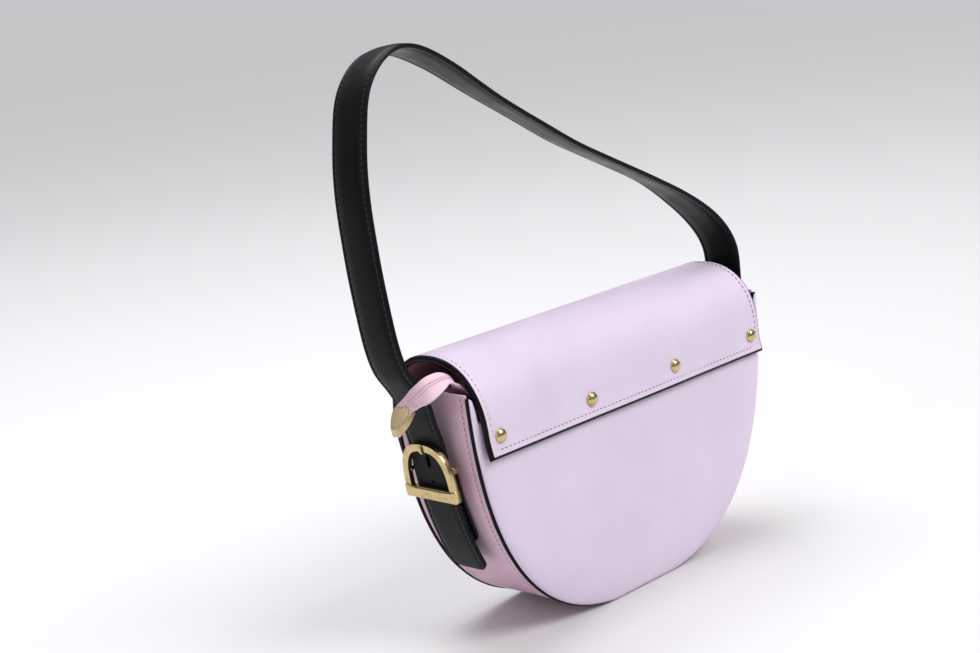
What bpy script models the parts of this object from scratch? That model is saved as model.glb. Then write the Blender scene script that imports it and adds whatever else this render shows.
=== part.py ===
# Half-moon crossbody purse: leather body, hinged flap, zip mouth, buckled strap.
# Metres, +Z up, the front faces -Y, the origin is the middle of the flat base.
import bpy
import bmesh
import math
from mathutils import Matrix, Vector

GAP = 0.0003

# body
HALF_WIDTH = 0.125
ROUND_HEIGHT = 0.166
ROUND_POWER = 2.64
BASE_CUT = 0.0012
FRONT_RIM = 0.1445
FRONT_DIP = 0.1295
EAR_INNER = 0.1200
BACK_RIM = 0.1375
GUSSET_HALF_DEPTH = 0.0262
GUSSET_THICK = 0.0016
LINING_THICK = 0.0008
EDGE_DEPTH = 0.0020
FRONT_CROWN_Y = -0.0296
BACK_CROWN_Y = 0.0304

# flap
FLAP_HALF_WIDTH = 0.1187
FLAP_FRONT_Y = -0.0336
FLAP_EDGE_Z = 0.1090
FLAP_TURN_Z = 0.1203
FLAP_TOP_Z = 0.1616
FLAP_TOP_Y = 0.0037
FLAP_BACK_Y = 0.0364
FLAP_FRONT_POWER = 2.3
FLAP_BACK_POWER = 2.4
FLAP_SEAM_TAIL = [(0.0012, 0.1120), (0.0032, 0.1045), (0.0044, 0.0985), (0.0044, 0.0870)]
LEATHER = 0.0012
CORE = 0.0010
STUD_SPACING = 0.0729
STUD_RADIUS = 0.0040

# strap
STRAP_HALF_WIDTH = 0.013
STRAP_THICK = 0.0030
STRAP_PIVOT_Z = 0.140
STRAP_LEAN = math.radians(8.0)
STRAP_OFFSET = 0.0068
STRAP_ARCH = [
    (-0.1318, 0.0000), (-0.1340, 0.0040), (-0.1400, 0.0115), (-0.1465, 0.0205), (-0.1503, 0.0360),
    (-0.1508, 0.0600), (-0.1500, 0.0870), (-0.1475, 0.1140), (-0.1425, 0.1370), (-0.1330, 0.1630),
    (-0.1160, 0.1785), (-0.0960, 0.1810), (-0.0700, 0.1690), (-0.0350, 0.1445), (0.0150, 0.1135),
    (0.0640, 0.0880), (0.0980, 0.0680), (0.1220, 0.0480), (0.1335, 0.0290), (0.1325, 0.0080),
    (0.1318, 0.0000),
]

# buckles, measured along the side of the body
BAR_Z = 0.1035
BAR_OFFSET = 0.0033
BAR_RADIUS = 0.0012
FRAME_HALF_WIDTH = 0.0183
FRAME_RISE = 0.0165
FRAME_DROP = 0.0150
FRAME_WIRE = 0.0042
FRAME_OFFSET = 0.0083
FRAME_THICK = 0.0027

# zip
ZIP_Z = 0.1383
ZIP_HALF_LENGTH = 0.106
SLIDER_X = 0.096

LILAC = (0.78, 0.64, 0.76)
ROSE = (0.62, 0.38, 0.46)
BLACK = (0.012, 0.014, 0.015)
GOLD = (0.80, 0.62, 0.34)
CLOTH = (0.55, 0.42, 0.50)
BOARD = (0.45, 0.38, 0.30)
FOAM = (0.75, 0.74, 0.70)
STEEL = (0.50, 0.50, 0.52)
TAPE = (0.74, 0.52, 0.58)


def clear_scene():
    for old in list(bpy.data.objects):
        bpy.data.objects.remove(old)


def material(name, colour, roughness, metallic):
    made = bpy.data.materials.new(name)
    made.use_nodes = True
    shader = made.node_tree.nodes["Principled BSDF"]
    shader.inputs["Base Color"].default_value = (*colour, 1.0)
    shader.inputs["Roughness"].default_value = roughness
    shader.inputs["Metallic"].default_value = metallic
    return made


def add_object(name, mesh_data, look):
    mesh = bpy.data.meshes.new(name)
    mesh_data.normal_update()
    bmesh.ops.recalc_face_normals(mesh_data, faces=mesh_data.faces)
    mesh_data.to_mesh(mesh)
    mesh_data.free()
    made = bpy.data.objects.new(name, mesh)
    bpy.context.scene.collection.objects.link(made)
    mesh.materials.append(material(name + "_mat", *look))
    return made


def smooth(made, degrees=35.0):
    made.data.shade_smooth()
    made.data.set_sharp_from_angle(angle=math.radians(degrees))
    return made


def side_x(height):
    drop = max(0.0, ROUND_HEIGHT - BASE_CUT - height) / ROUND_HEIGHT
    return HALF_WIDTH * (1.0 - min(1.0, drop) ** ROUND_POWER) ** (1.0 / ROUND_POWER)


def half_outline(rim, count):
    # right half of the D, from the end of the base flat up to the rim
    flat = HALF_WIDTH * (1.0 - (1.0 - BASE_CUT / ROUND_HEIGHT) ** ROUND_POWER) ** (1.0 / ROUND_POWER)
    start = math.acos((flat / HALF_WIDTH) ** (ROUND_POWER / 2.0))
    top_drop = (ROUND_HEIGHT - BASE_CUT - rim) / ROUND_HEIGHT
    end = math.asin(top_drop ** (ROUND_POWER / 2.0))
    points = []
    for i in range(count + 1):
        angle = start + (end - start) * i / count
        x = HALF_WIDTH * math.cos(angle) ** (2.0 / ROUND_POWER)
        z = ROUND_HEIGHT * (1.0 - math.sin(angle) ** (2.0 / ROUND_POWER)) - BASE_CUT
        points.append(Vector((x, z)))
    points[0].y = 0.0
    return points


def outline(rim, inset, count=20):
    # open path from the right rim, down round the base, to the left rim
    half = half_outline(rim, count)
    path = [Vector(p) for p in reversed(half)]
    path += [Vector((-p.x, p.y)) for p in half]
    moved = []
    for i, point in enumerate(path):
        before = path[i] - path[i - 1] if i > 0 else None
        after = path[i + 1] - path[i] if i < len(path) - 1 else None
        first = before if before is not None else after
        second = after if after is not None else before
        n1 = Vector((first.y, -first.x)).normalized()
        n2 = Vector((second.y, -second.x)).normalized()
        normal = (n1 + n2).normalized()
        reach = inset / max(0.5, normal.dot(n1))
        moved.append(point + normal * reach)
    moved[0].y = rim
    moved[-1].y = rim
    return moved


def band(name, outer, inner, y0, y1, look):
    # solid strip that follows an open path in the XZ plane
    bm = bmesh.new()
    rings = []
    for a, b in zip(outer, inner):
        corners = ((a, y0), (a, y1), (b, y1), (b, y0))
        rings.append([bm.verts.new((p.x, y, p.y)) for p, y in corners])
    for one, two in zip(rings, rings[1:]):
        for k in range(4):
            j = (k + 1) % 4
            bm.faces.new((one[k], one[j], two[j], two[k]))
    bm.faces.new(rings[0])
    bm.faces.new(rings[-1])
    return add_object(name, bm, look)


def dish(name, levels, look):
    # D-shaped slab: each level is (inset, y, height of the corners, height between them)
    bm = bmesh.new()
    rings = []
    for inset, y, top, dip in levels:
        path = outline(top, inset)
        if dip < top:
            ear = min(EAR_INNER - 0.1 * inset, HALF_WIDTH - 0.0025 - inset)
            path += [Vector((-ear, top)), Vector((-ear + 0.0004, dip))]
            path += [Vector((ear - 0.0004, dip)), Vector((ear, top))]
        rings.append([bm.verts.new((p.x, y, p.y)) for p in path])
    for one, two in zip(rings, rings[1:]):
        total = len(one)
        for k in range(total):
            j = (k + 1) % total
            bm.faces.new((one[k], one[j], two[j], two[k]))
    bm.faces.new(rings[0])
    bm.faces.new(rings[-1])
    bmesh.ops.triangulate(bm, faces=[f for f in bm.faces if len(f.verts) > 4])
    return add_object(name, bm, look)


def slab(name, rim, inset, y0, y1, look):
    return dish(name, [(inset, y0, rim, rim), (inset, y1, rim, rim)], look)


def box(name, low, high, look, bevel=0.0, segments=1):
    bm = bmesh.new()
    bmesh.ops.create_cube(bm, size=1.0)
    size = [b - a for a, b in zip(low, high)]
    middle = [(a + b) / 2.0 for a, b in zip(low, high)]
    bmesh.ops.scale(bm, vec=size, verts=bm.verts)
    bmesh.ops.translate(bm, vec=middle, verts=bm.verts)
    if bevel > 0.0:
        bmesh.ops.bevel(bm, geom=bm.edges[:], offset=bevel, segments=segments, affect="EDGES")
    return add_object(name, bm, look)


def disc(name, radius, y0, y1, x, z, look, sides=16):
    bm = bmesh.new()
    turn = Matrix.Rotation(math.radians(90.0), 4, "X")
    place = Matrix.Translation((x, (y0 + y1) / 2.0, z)) @ turn
    bmesh.ops.create_cone(bm, cap_ends=True, segments=sides, radius1=radius, radius2=radius,
                          depth=abs(y1 - y0), matrix=place)
    return add_object(name, bm, look)


def cut(target, cutter):
    modifier = target.modifiers.new("cut_" + cutter.name, "BOOLEAN")
    modifier.operation = "DIFFERENCE"
    modifier.solver = "EXACT"
    modifier.object = cutter
    cutter.hide_render = True
    cutter.display_type = "WIRE"


def catmull(points, steps):
    ends = [points[0]] + list(points) + [points[-1]]
    curve = []
    for i in range(1, len(ends) - 2):
        p0, p1, p2, p3 = (Vector(p) for p in ends[i - 1:i + 3])
        for s in range(steps):
            t = s / steps
            a = 2.0 * p1
            b = (p2 - p0) * t
            c = (2.0 * p0 - 5.0 * p1 + 4.0 * p2 - p3) * t * t
            d = (3.0 * p1 - p0 - 3.0 * p2 + p3) * t * t * t
            curve.append((a + b + c + d) * 0.5)
    curve.append(Vector(points[-1]))
    return curve


# ---- body ---------------------------------------------------------------

def make_panels():
    half = GUSSET_HALF_DEPTH
    leather = (LILAC, 0.42, 0.0)
    rim_y = -(half + EDGE_DEPTH + 2 * GAP)
    high = FRONT_RIM
    dip = FRONT_DIP
    levels = [
        (0.0008, rim_y, high - 0.0008, dip - 0.0008),
        (0.0002, rim_y - 0.0002, high - 0.0002, dip - 0.0002),
        (0.0006, rim_y - 0.0004, high - 0.0006, dip - 0.0006),
        (0.0030, rim_y - 0.0005, high - 0.0030, dip - 0.0020),
        (0.0034, rim_y - 0.0006, dip - 0.0016, dip - 0.0026),
        (0.0100, FRONT_CROWN_Y + 0.0001, dip - 0.0060, dip - 0.0072),
        (0.0240, FRONT_CROWN_Y, dip - 0.0150, dip - 0.0164),
    ]
    smooth(dish("front_panel", levels, leather))
    back_y = -rim_y
    high = BACK_RIM
    levels = [
        (0.0008, back_y, high - 0.0008, high),
        (0.0002, back_y + 0.0003, high - 0.0002, high),
        (0.0010, back_y + 0.0009, high - 0.0010, high),
        (0.0100, BACK_CROWN_Y, high - 0.0070, high),
    ]
    smooth(dish("back_panel", levels, leather))
    inner = GUSSET_THICK + LINING_THICK + 2 * GAP
    slab("front_padding", FRONT_DIP - 0.003, inner, -0.0285, -0.0231, (FOAM, 0.9, 0.0))
    slab("front_board", FRONT_DIP - 0.003, inner, -0.0228, -0.0216, (BOARD, 0.9, 0.0))
    slab("front_lining", FRONT_DIP + 0.006, inner, -0.0213, -0.0205, (CLOTH, 0.8, 0.0))
    slab("back_padding", BACK_RIM - 0.003, inner, 0.0285, 0.0254, (FOAM, 0.9, 0.0))
    slab("back_board", BACK_RIM - 0.003, inner, 0.0251, 0.0236, (BOARD, 0.9, 0.0))
    slab("back_lining", BACK_RIM + 0.002, inner, 0.0233, 0.0225, (CLOTH, 0.8, 0.0))


def make_gusset():
    half = GUSSET_HALF_DEPTH
    rim = FRONT_RIM
    skin = (ROSE, 0.5, 0.0)
    smooth(band("gusset", outline(rim, 0.0), outline(rim, GUSSET_THICK), -half, half, skin))
    a = GUSSET_THICK + GAP
    b = a + LINING_THICK
    low = rim - 0.001
    band("gusset_lining", outline(low, a), outline(low, b), -half + 0.001, half - 0.001,
         (CLOTH, 0.8, 0.0))
    edge = (BLACK, 0.35, 0.0)
    for name, sign in (("front_edge", -1.0), ("back_edge", 1.0)):
        level = FRONT_RIM if sign < 0 else BACK_RIM
        outer = outline(level, -0.0006)
        for point in outer:
            point.y = max(point.y, 0.0003)
        inner = outline(level, 0.0018)
        y0 = sign * (half + GAP)
        y1 = sign * (half + GAP + EDGE_DEPTH)
        smooth(band(name, outer, inner, y0, y1, edge))
    width = 0.050
    top = GUSSET_THICK + LINING_THICK + 2 * GAP
    box("base_board", (-width, -0.0200, top + 0.0052), (width, 0.0195, top + 0.0072),
        (BOARD, 0.9, 0.0), 0.0008)


def make_pocket():
    bm = bmesh.new()
    bmesh.ops.create_cube(bm, size=1.0)
    bmesh.ops.scale(bm, vec=(0.120, 0.0044, 0.070), verts=bm.verts)
    bmesh.ops.translate(bm, vec=(0.0, 0.0200, 0.090), verts=bm.verts)
    pocket = add_object("inner_pocket", bm, (CLOTH, 0.8, 0.0))
    hollow = box("pocket_hollow", (-0.0590, 0.0186, 0.0560), (0.0590, 0.0214, 0.1300),
                 (CLOTH, 0.8, 0.0))
    cut(pocket, hollow)


# ---- zip ----------------------------------------------------------------

def make_zip():
    z = ZIP_Z
    reach = ZIP_HALF_LENGTH
    cloth = (TAPE, 0.85, 0.0)
    box("zip_tape_front", (-reach, -0.0202, z - 0.0004), (reach, -0.0025, z + 0.0004), cloth)
    box("zip_tape_back", (-reach, 0.0025, z - 0.0004), (reach, 0.0222, z + 0.0004), cloth)
    coil = (TAPE, 0.5, 0.0)
    box("zip_coil_front", (-reach, -0.0022, z - 0.0010), (reach, -0.0006, z + 0.0010), coil, 0.0003)
    box("zip_coil_back", (-reach, 0.0006, z - 0.0010), (reach, 0.0022, z + 0.0010), coil, 0.0003)
    gold = (GOLD, 0.28, 1.0)
    box("zip_stop", (reach + GAP, -0.0024, z - 0.0014), (reach + 0.0030, 0.0024, z + 0.0014),
        gold, 0.0005)
    make_slider()
    make_zip_tail()


def make_slider():
    z = ZIP_Z
    gold = (GOLD, 0.28, 1.0)
    top = box("zip_slider", (SLIDER_X - 0.0050, -0.0042, z + 0.0013),
              (SLIDER_X + 0.0050, 0.0042, z + 0.0027), gold)
    guide = (GOLD, 0.28, 1.0)
    low = box("slider_lower_guide", (SLIDER_X - 0.0050, -0.0042, z - 0.0027),
              (SLIDER_X + 0.0050, 0.0042, z - 0.0013), guide)
    post = box("slider_post_guide", (SLIDER_X + 0.0005, -0.0003, z - 0.0020),
               (SLIDER_X + 0.0045, 0.0003, z + 0.0020), guide)
    ears = []
    for sign in (-1.0, 1.0):
        y0 = sign * 0.0014
        y1 = sign * 0.0026
        ear = box("slider_ear_guide", (SLIDER_X - 0.0016, min(y0, y1), z + 0.0020),
                  (SLIDER_X + 0.0016, max(y0, y1), z + 0.0052), guide)
        ears.append(ear)
    for piece in [low, post] + ears:
        join = top.modifiers.new("join_" + piece.name, "BOOLEAN")
        join.operation = "UNION"
        join.solver = "EXACT"
        join.object = piece
        piece.hide_render = True
        piece.display_type = "WIRE"
    # the pull hangs on a cross pin between the two ears and lies flat to the left
    pin_z = z + 0.0040
    pull = box("zip_pull", (SLIDER_X - 0.0130, -0.0040, pin_z - 0.0006),
               (SLIDER_X - 0.0022, 0.0040, pin_z + 0.0006), gold, 0.0003)
    neck = box("pull_neck_guide", (SLIDER_X - 0.0030, -0.0010, pin_z - 0.0006),
               (SLIDER_X + 0.0006, 0.0010, pin_z + 0.0006), guide)
    join = pull.modifiers.new("join_neck", "BOOLEAN")
    join.operation = "UNION"
    join.solver = "EXACT"
    join.object = neck
    neck.hide_render = True
    neck.display_type = "WIRE"


def make_zip_tail():
    # soft tongue of closed zip tape that leaves the mouth and drops outside the strap;
    # each place on its middle line comes with the direction from its far edge to its near edge
    route = [
        ((-0.1478, -0.0054, 0.1428), (0.198, -0.980, 0.021)),
        ((-0.1481, -0.0120, 0.1458), (-0.06, -0.98, -0.17)),
        ((-0.1478, -0.0190, 0.1505), (-0.14, -0.83, -0.54)),
        ((-0.1430, -0.0220, 0.1538), (-0.22, -0.73, -0.65)),
        ((-0.1342, -0.0205, 0.1547), (-0.42, -0.80, -0.42)),
        ((-0.1262, -0.0180, 0.1530), (-0.60, -0.79, -0.05)),
        ((-0.1180, -0.0135, 0.1470), (-0.36, -0.93, 0.05)),
        ((-0.1120, -0.0108, 0.1420), (-0.12, -0.99, 0.02)),
        ((-0.1066, -0.0090, 0.1393), (-0.02, -1.00, 0.01)),
    ]
    path = catmull([place for place, across in route], 3)
    sides = catmull([across for place, across in route], 3)
    bm = bmesh.new()
    rings = []
    half = 0.0070
    thick = 0.0008
    for i, point in enumerate(path):
        run = (path[min(len(path) - 1, i + 1)] - path[max(0, i - 1)]).normalized()
        across = Vector(sides[i]).normalized()
        normal = across.cross(run).normalized()
        corners = ((-half, -thick), (half, -thick), (half, thick), (-half, thick))
        rings.append([bm.verts.new(point + across * w + normal * t) for w, t in corners])
    for one, two in zip(rings, rings[1:]):
        for k in range(4):
            j = (k + 1) % 4
            bm.faces.new((one[k], one[j], two[j], two[k]))
    bm.faces.new(rings[0])
    bm.faces.new(rings[-1])
    smooth(add_object("zip_tail", bm, (TAPE, 0.85, 0.0)))
    # shield-shaped end cap with sloping walls, tilted so that its foot hangs outwards
    top = Vector((-0.1492, -0.0057, 0.1412))
    down = Vector((-0.696, -0.156, -0.701)).normalized()
    out = Vector((0.198, -0.980, 0.021)).cross(-down).normalized()
    across = (-down).cross(out).normalized()
    bm = bmesh.new()
    rings = []
    for along, half in ((-0.0006, 0.0068), (0.0038, 0.0066), (0.0078, 0.0056), (0.0113, 0.0037), (0.0146, 0.0016)):
        middle = top + down * along
        corners = ((-half, -0.0024), (half, -0.0024), (half * 0.76, 0.0024), (-half * 0.76, 0.0024))
        rings.append([bm.verts.new(middle + across * w + out * t) for w, t in corners])
    for one, two in zip(rings, rings[1:]):
        for k in range(4):
            j = (k + 1) % 4
            bm.faces.new((one[k], one[j], two[j], two[k]))
    bm.faces.new(rings[0])
    bm.faces.new(rings[-1])
    bmesh.ops.bevel(bm, geom=bm.edges[:], offset=0.0005, segments=1, affect="EDGES")
    add_object("zip_end_cap", bm, (GOLD, 0.25, 1.0))


# ---- side hardware ------------------------------------------------------

def side_strip(name, side, low, high, near, far, half, look, round_foot=0.0):
    # flat strap that follows the side of the body between two heights
    steps = 14
    rings = []
    bm = bmesh.new()
    for i in range(steps + 1):
        z = low + (high - low) * i / steps
        x = side_x(z)
        slope = (side_x(z + 0.001) - side_x(z - 0.001)) / 0.002
        normal = Vector((1.0, -slope)).normalized()
        width = half
        if round_foot > 0.0 and i < 3:
            width = half - round_foot * (1.0 - i / 3.0) ** 2
        corners = ((near, -width), (far, -width), (far, width), (near, width))
        ring = []
        for off, y in corners:
            ring.append(bm.verts.new((side * (x + normal.x * off), y, z + normal.y * off)))
        rings.append(ring)
    for one, two in zip(rings, rings[1:]):
        for k in range(4):
            j = (k + 1) % 4
            bm.faces.new((one[k], one[j], two[j], two[k]))
    bm.faces.new(rings[0])
    bm.faces.new(rings[-1])
    return smooth(add_object(name, bm, look))


def side_frame(side):
    # local axes at the heel bar: up the side, and out from it
    slope = (side_x(BAR_Z + 0.001) - side_x(BAR_Z - 0.001)) / 0.002
    out = Vector((side, 0.0, -slope)).normalized()
    up = Vector((side * slope, 0.0, 1.0)).normalized()
    origin = Vector((side * side_x(BAR_Z), 0.0, BAR_Z))
    return origin, up, out


def frame_loop(half, rise, drop, corner, count=8):
    # outline of the buckle seen from outside: arched top, straight foot
    points = []
    shoulder = rise - half * 0.72
    for i in range(count + 1):
        angle = math.pi * i / count
        points.append((half * math.cos(angle), shoulder + (rise - shoulder) * math.sin(angle)))
    points.append((-half, -drop + corner))
    points.append((-half + corner, -drop))
    points.append((half - corner, -drop))
    points.append((half, -drop + corner))
    return points


def make_buckle(tag, side):
    origin, up, out = side_frame(side)
    wire = FRAME_WIRE
    outer = frame_loop(FRAME_HALF_WIDTH, FRAME_RISE, FRAME_DROP, 0.0030)
    inner = frame_loop(FRAME_HALF_WIDTH - wire, FRAME_RISE - wire, FRAME_DROP - 0.0058, 0.0008)
    bm = bmesh.new()
    rings = []
    shape = (
        (outer, 0.0, FRAME_OFFSET + 0.0006), (outer, 0.08, FRAME_OFFSET + FRAME_THICK - 0.0006),
        (outer, 0.30, FRAME_OFFSET + FRAME_THICK), (inner, 0.0, FRAME_OFFSET + FRAME_THICK - 0.0004),
        (inner, 0.0, FRAME_OFFSET), (outer, 0.20, FRAME_OFFSET),
    )
    for loop, mix, off in shape:
        ring = []
        for k, (y, u) in enumerate(loop):
            if loop is outer:
                y = y + (inner[k][0] - y) * mix
                u = u + (inner[k][1] - u) * mix
            ring.append(bm.verts.new(origin + Vector((0.0, y, 0.0)) + up * u + out * off))
        rings.append(ring)
    for r, one in enumerate(rings):
        two = rings[(r + 1) % len(rings)]
        total = len(one)
        for k in range(total):
            j = (k + 1) % total
            bm.faces.new((one[k], one[j], two[j], two[k]))
    buckle = smooth(add_object("buckle_" + tag, bm, (GOLD, 0.22, 1.0)))
    # lugs carry the heel bar below the strap
    for sign in (-1.0, 1.0):
        bm = bmesh.new()
        bmesh.ops.create_cube(bm, size=1.0)
        bmesh.ops.scale(bm, vec=(0.0074, 0.0026, 0.0050), verts=bm.verts)
        turn = Matrix((out, Vector((0.0, 1.0, 0.0)), up)).transposed().to_4x4()
        middle = origin + out * 0.0056 + Vector((0.0, sign * 0.0155, 0.0))
        bmesh.ops.transform(bm, matrix=Matrix.Translation(middle) @ turn, verts=bm.verts)
        lug = add_object("lug_guide", bm, (GOLD, 0.22, 1.0))
        join = buckle.modifiers.new("join_lug", "BOOLEAN")
        join.operation = "UNION"
        join.solver = "EXACT"
        join.object = lug
        lug.hide_render = True
        lug.display_type = "WIRE"
    bm = bmesh.new()
    spin = Matrix.Rotation(math.radians(90.0), 4, "X")
    place = Matrix.Translation(origin + out * BAR_OFFSET) @ spin
    bmesh.ops.create_cone(bm, cap_ends=True, segments=12, radius1=BAR_RADIUS, radius2=BAR_RADIUS,
                          depth=2 * (0.0155 - 0.0013 - GAP), matrix=place)
    smooth(add_object("heel_bar_" + tag, bm, (GOLD, 0.3, 1.0)))


def make_prong(tag, side):
    # tongue: an eye round the heel bar and a round arm that rests on the arch
    origin, up, out = side_frame(side)
    centre = origin + out * BAR_OFFSET
    bm = bmesh.new()
    spin = Matrix.Rotation(math.radians(90.0), 4, "X")
    bmesh.ops.create_cone(bm, cap_ends=True, segments=12, radius1=0.0021, radius2=0.0021,
                          depth=0.0024, matrix=Matrix.Translation(centre) @ spin)
    prong = add_object("prong_" + tag, bm, (GOLD, 0.25, 1.0))
    bm = bmesh.new()
    tip = centre + up * 0.0152 + out * 0.0114
    run = tip - centre
    start = centre + run.normalized() * 0.0018
    length = (tip - start).length
    aim = run.to_track_quat("Z", "Y").to_matrix().to_4x4()
    place = Matrix.Translation((start + tip) / 2.0) @ aim
    bmesh.ops.create_cone(bm, cap_ends=True, segments=10, radius1=0.0011, radius2=0.0009,
                          depth=length, matrix=place)
    arm = add_object("arm_guide", bm, (GOLD, 0.25, 1.0))
    join = prong.modifiers.new("join_arm", "BOOLEAN")
    join.operation = "UNION"
    join.solver = "EXACT"
    join.object = arm
    arm.hide_render = True
    arm.display_type = "WIRE"
    bm = bmesh.new()
    bmesh.ops.create_cone(bm, cap_ends=True, segments=12, radius1=BAR_RADIUS + GAP,
                          radius2=BAR_RADIUS + GAP, depth=0.006,
                          matrix=Matrix.Translation(centre) @ spin)
    bore = add_object("eye_bore_" + tag, bm, (GOLD, 0.25, 1.0))
    cut(prong, bore)
    smooth(prong)


def make_side(tag, side):
    black = (BLACK, 0.38, 0.0)
    origin, up, out = side_frame(side)
    side_strip("side_tab_" + tag, side, 0.060, BAR_Z - 0.004, GAP, 0.0023, 0.0120, black)
    top = STRAP_PIVOT_Z - STRAP_HALF_WIDTH - GAP
    end = side_strip("strap_end_" + tag, side, 0.046, top, 0.0056, 0.0080, STRAP_HALF_WIDTH, black,
                     0.0030)
    turn = Matrix((out, Vector((0.0, 1.0, 0.0)), up)).transposed().to_4x4()
    bm = bmesh.new()
    bmesh.ops.create_cube(bm, size=1.0)
    bmesh.ops.scale(bm, vec=(0.008, 0.0030, 0.0088), verts=bm.verts)
    place = Matrix.Translation(origin + out * 0.0068 + up * 0.0042) @ turn
    bmesh.ops.transform(bm, matrix=place, verts=bm.verts)
    cut(end, add_object("prong_slot_" + tag, bm, black))
    for number, along in enumerate((-0.0062,)):
        bm = bmesh.new()
        lay = Matrix.Translation(origin + out * 0.0068 + up * along) @ turn
        lay = lay @ Matrix.Rotation(math.radians(90.0), 4, "Y")
        bmesh.ops.create_cone(bm, cap_ends=True, segments=10, radius1=0.0014, radius2=0.0014,
                              depth=0.008, matrix=lay)
        cut(end, add_object("spare_hole_" + tag, bm, black))
    make_buckle(tag, side)
    make_prong(tag, side)


# ---- strap --------------------------------------------------------------

def make_strap():
    arch = catmull(STRAP_ARCH, 3)
    stations = []
    turns = 6
    for i in range(turns):
        angle = math.radians(84.0) * (turns - i) / turns
        drop = STRAP_HALF_WIDTH * math.sin(angle)
        stations.append((Vector((arch[0].x, -drop)), STRAP_HALF_WIDTH * math.cos(angle)))
    stations += [(p, STRAP_HALF_WIDTH) for p in arch]
    for i in range(1, turns + 1):
        angle = math.radians(84.0) * i / turns
        drop = STRAP_HALF_WIDTH * math.sin(angle)
        stations.append((Vector((arch[-1].x, -drop)), STRAP_HALF_WIDTH * math.cos(angle)))
    lean = Matrix.Rotation(-STRAP_LEAN, 4, "X")
    lift = Matrix.Translation((0.0, 0.0, STRAP_PIVOT_Z))
    bm = bmesh.new()
    rings = []
    last = len(stations) - 1
    for i, (point, half) in enumerate(stations):
        run = stations[min(last, i + 1)][0] - stations[max(0, i - 1)][0]
        run.normalize()
        side = Vector((-run.y, run.x)) * (STRAP_THICK / 2.0)
        ring = []
        for sign, y in ((-1, -half), (1, -half), (1, half), (-1, half)):
            flat = point + side * sign
            ring.append(bm.verts.new(lift @ lean @ Vector((flat.x, y, flat.y))))
        rings.append(ring)
    for one, two in zip(rings, rings[1:]):
        for k in range(4):
            j = (k + 1) % 4
            bm.faces.new((one[k], one[j], two[j], two[k]))
    bm.faces.new(rings[0])
    bm.faces.new(rings[-1])
    smooth(add_object("strap", bm, (BLACK, 0.38, 0.0)))


# ---- flap ---------------------------------------------------------------

def flap_front_profile(depth):
    # path of one leather face, `depth` below the outer face, front edge to ridge
    points = [Vector((FLAP_FRONT_Y + depth, FLAP_EDGE_Z))]
    steps = 16
    wide = FLAP_TOP_Y - FLAP_FRONT_Y - depth
    tall = FLAP_TOP_Z - FLAP_TURN_Z - depth
    power = 2.0 / FLAP_FRONT_POWER
    for i in range(steps):
        angle = math.pi / 2.0 * i / steps
        y = FLAP_TOP_Y - wide * math.cos(angle) ** power
        points.append(Vector((y, FLAP_TURN_Z + tall * math.sin(angle) ** power)))
    points.append(Vector((FLAP_TOP_Y - GAP / 2.0, FLAP_TOP_Z - depth)))
    return points


def flap_back_profile(depth, sewn):
    # the same from the ridge down the back; a sewn sheet turns in to meet the back panel
    points = [Vector((FLAP_TOP_Y + GAP / 2.0, FLAP_TOP_Z - depth))]
    steps = 14
    tall = FLAP_TOP_Z - FLAP_TURN_Z - depth
    back = FLAP_BACK_Y - FLAP_TOP_Y - depth
    power = 2.0 / FLAP_BACK_POWER
    for i in range(1, steps + 1):
        angle = math.pi / 2.0 * (1.0 - i / steps)
        y = FLAP_TOP_Y + back * math.cos(angle) ** power
        points.append(Vector((y, FLAP_TURN_Z + tall * math.sin(angle) ** power)))
    if sewn:
        points += [Vector((FLAP_BACK_Y - depth - inward, z)) for inward, z in FLAP_SEAM_TAIL]
    return points


def curved_sheet(name, near, far, half, look):
    bm = bmesh.new()
    rings = []
    for a, b in zip(near, far):
        corners = ((-half, a), (half, a), (half, b), (-half, b))
        rings.append([bm.verts.new((x, p.x, p.y)) for x, p in corners])
    for one, two in zip(rings, rings[1:]):
        for k in range(4):
            j = (k + 1) % 4
            bm.faces.new((one[k], one[j], two[j], two[k]))
    bm.faces.new(rings[0])
    bm.faces.new(rings[-1])
    return smooth(add_object(name, bm, look))


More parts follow.
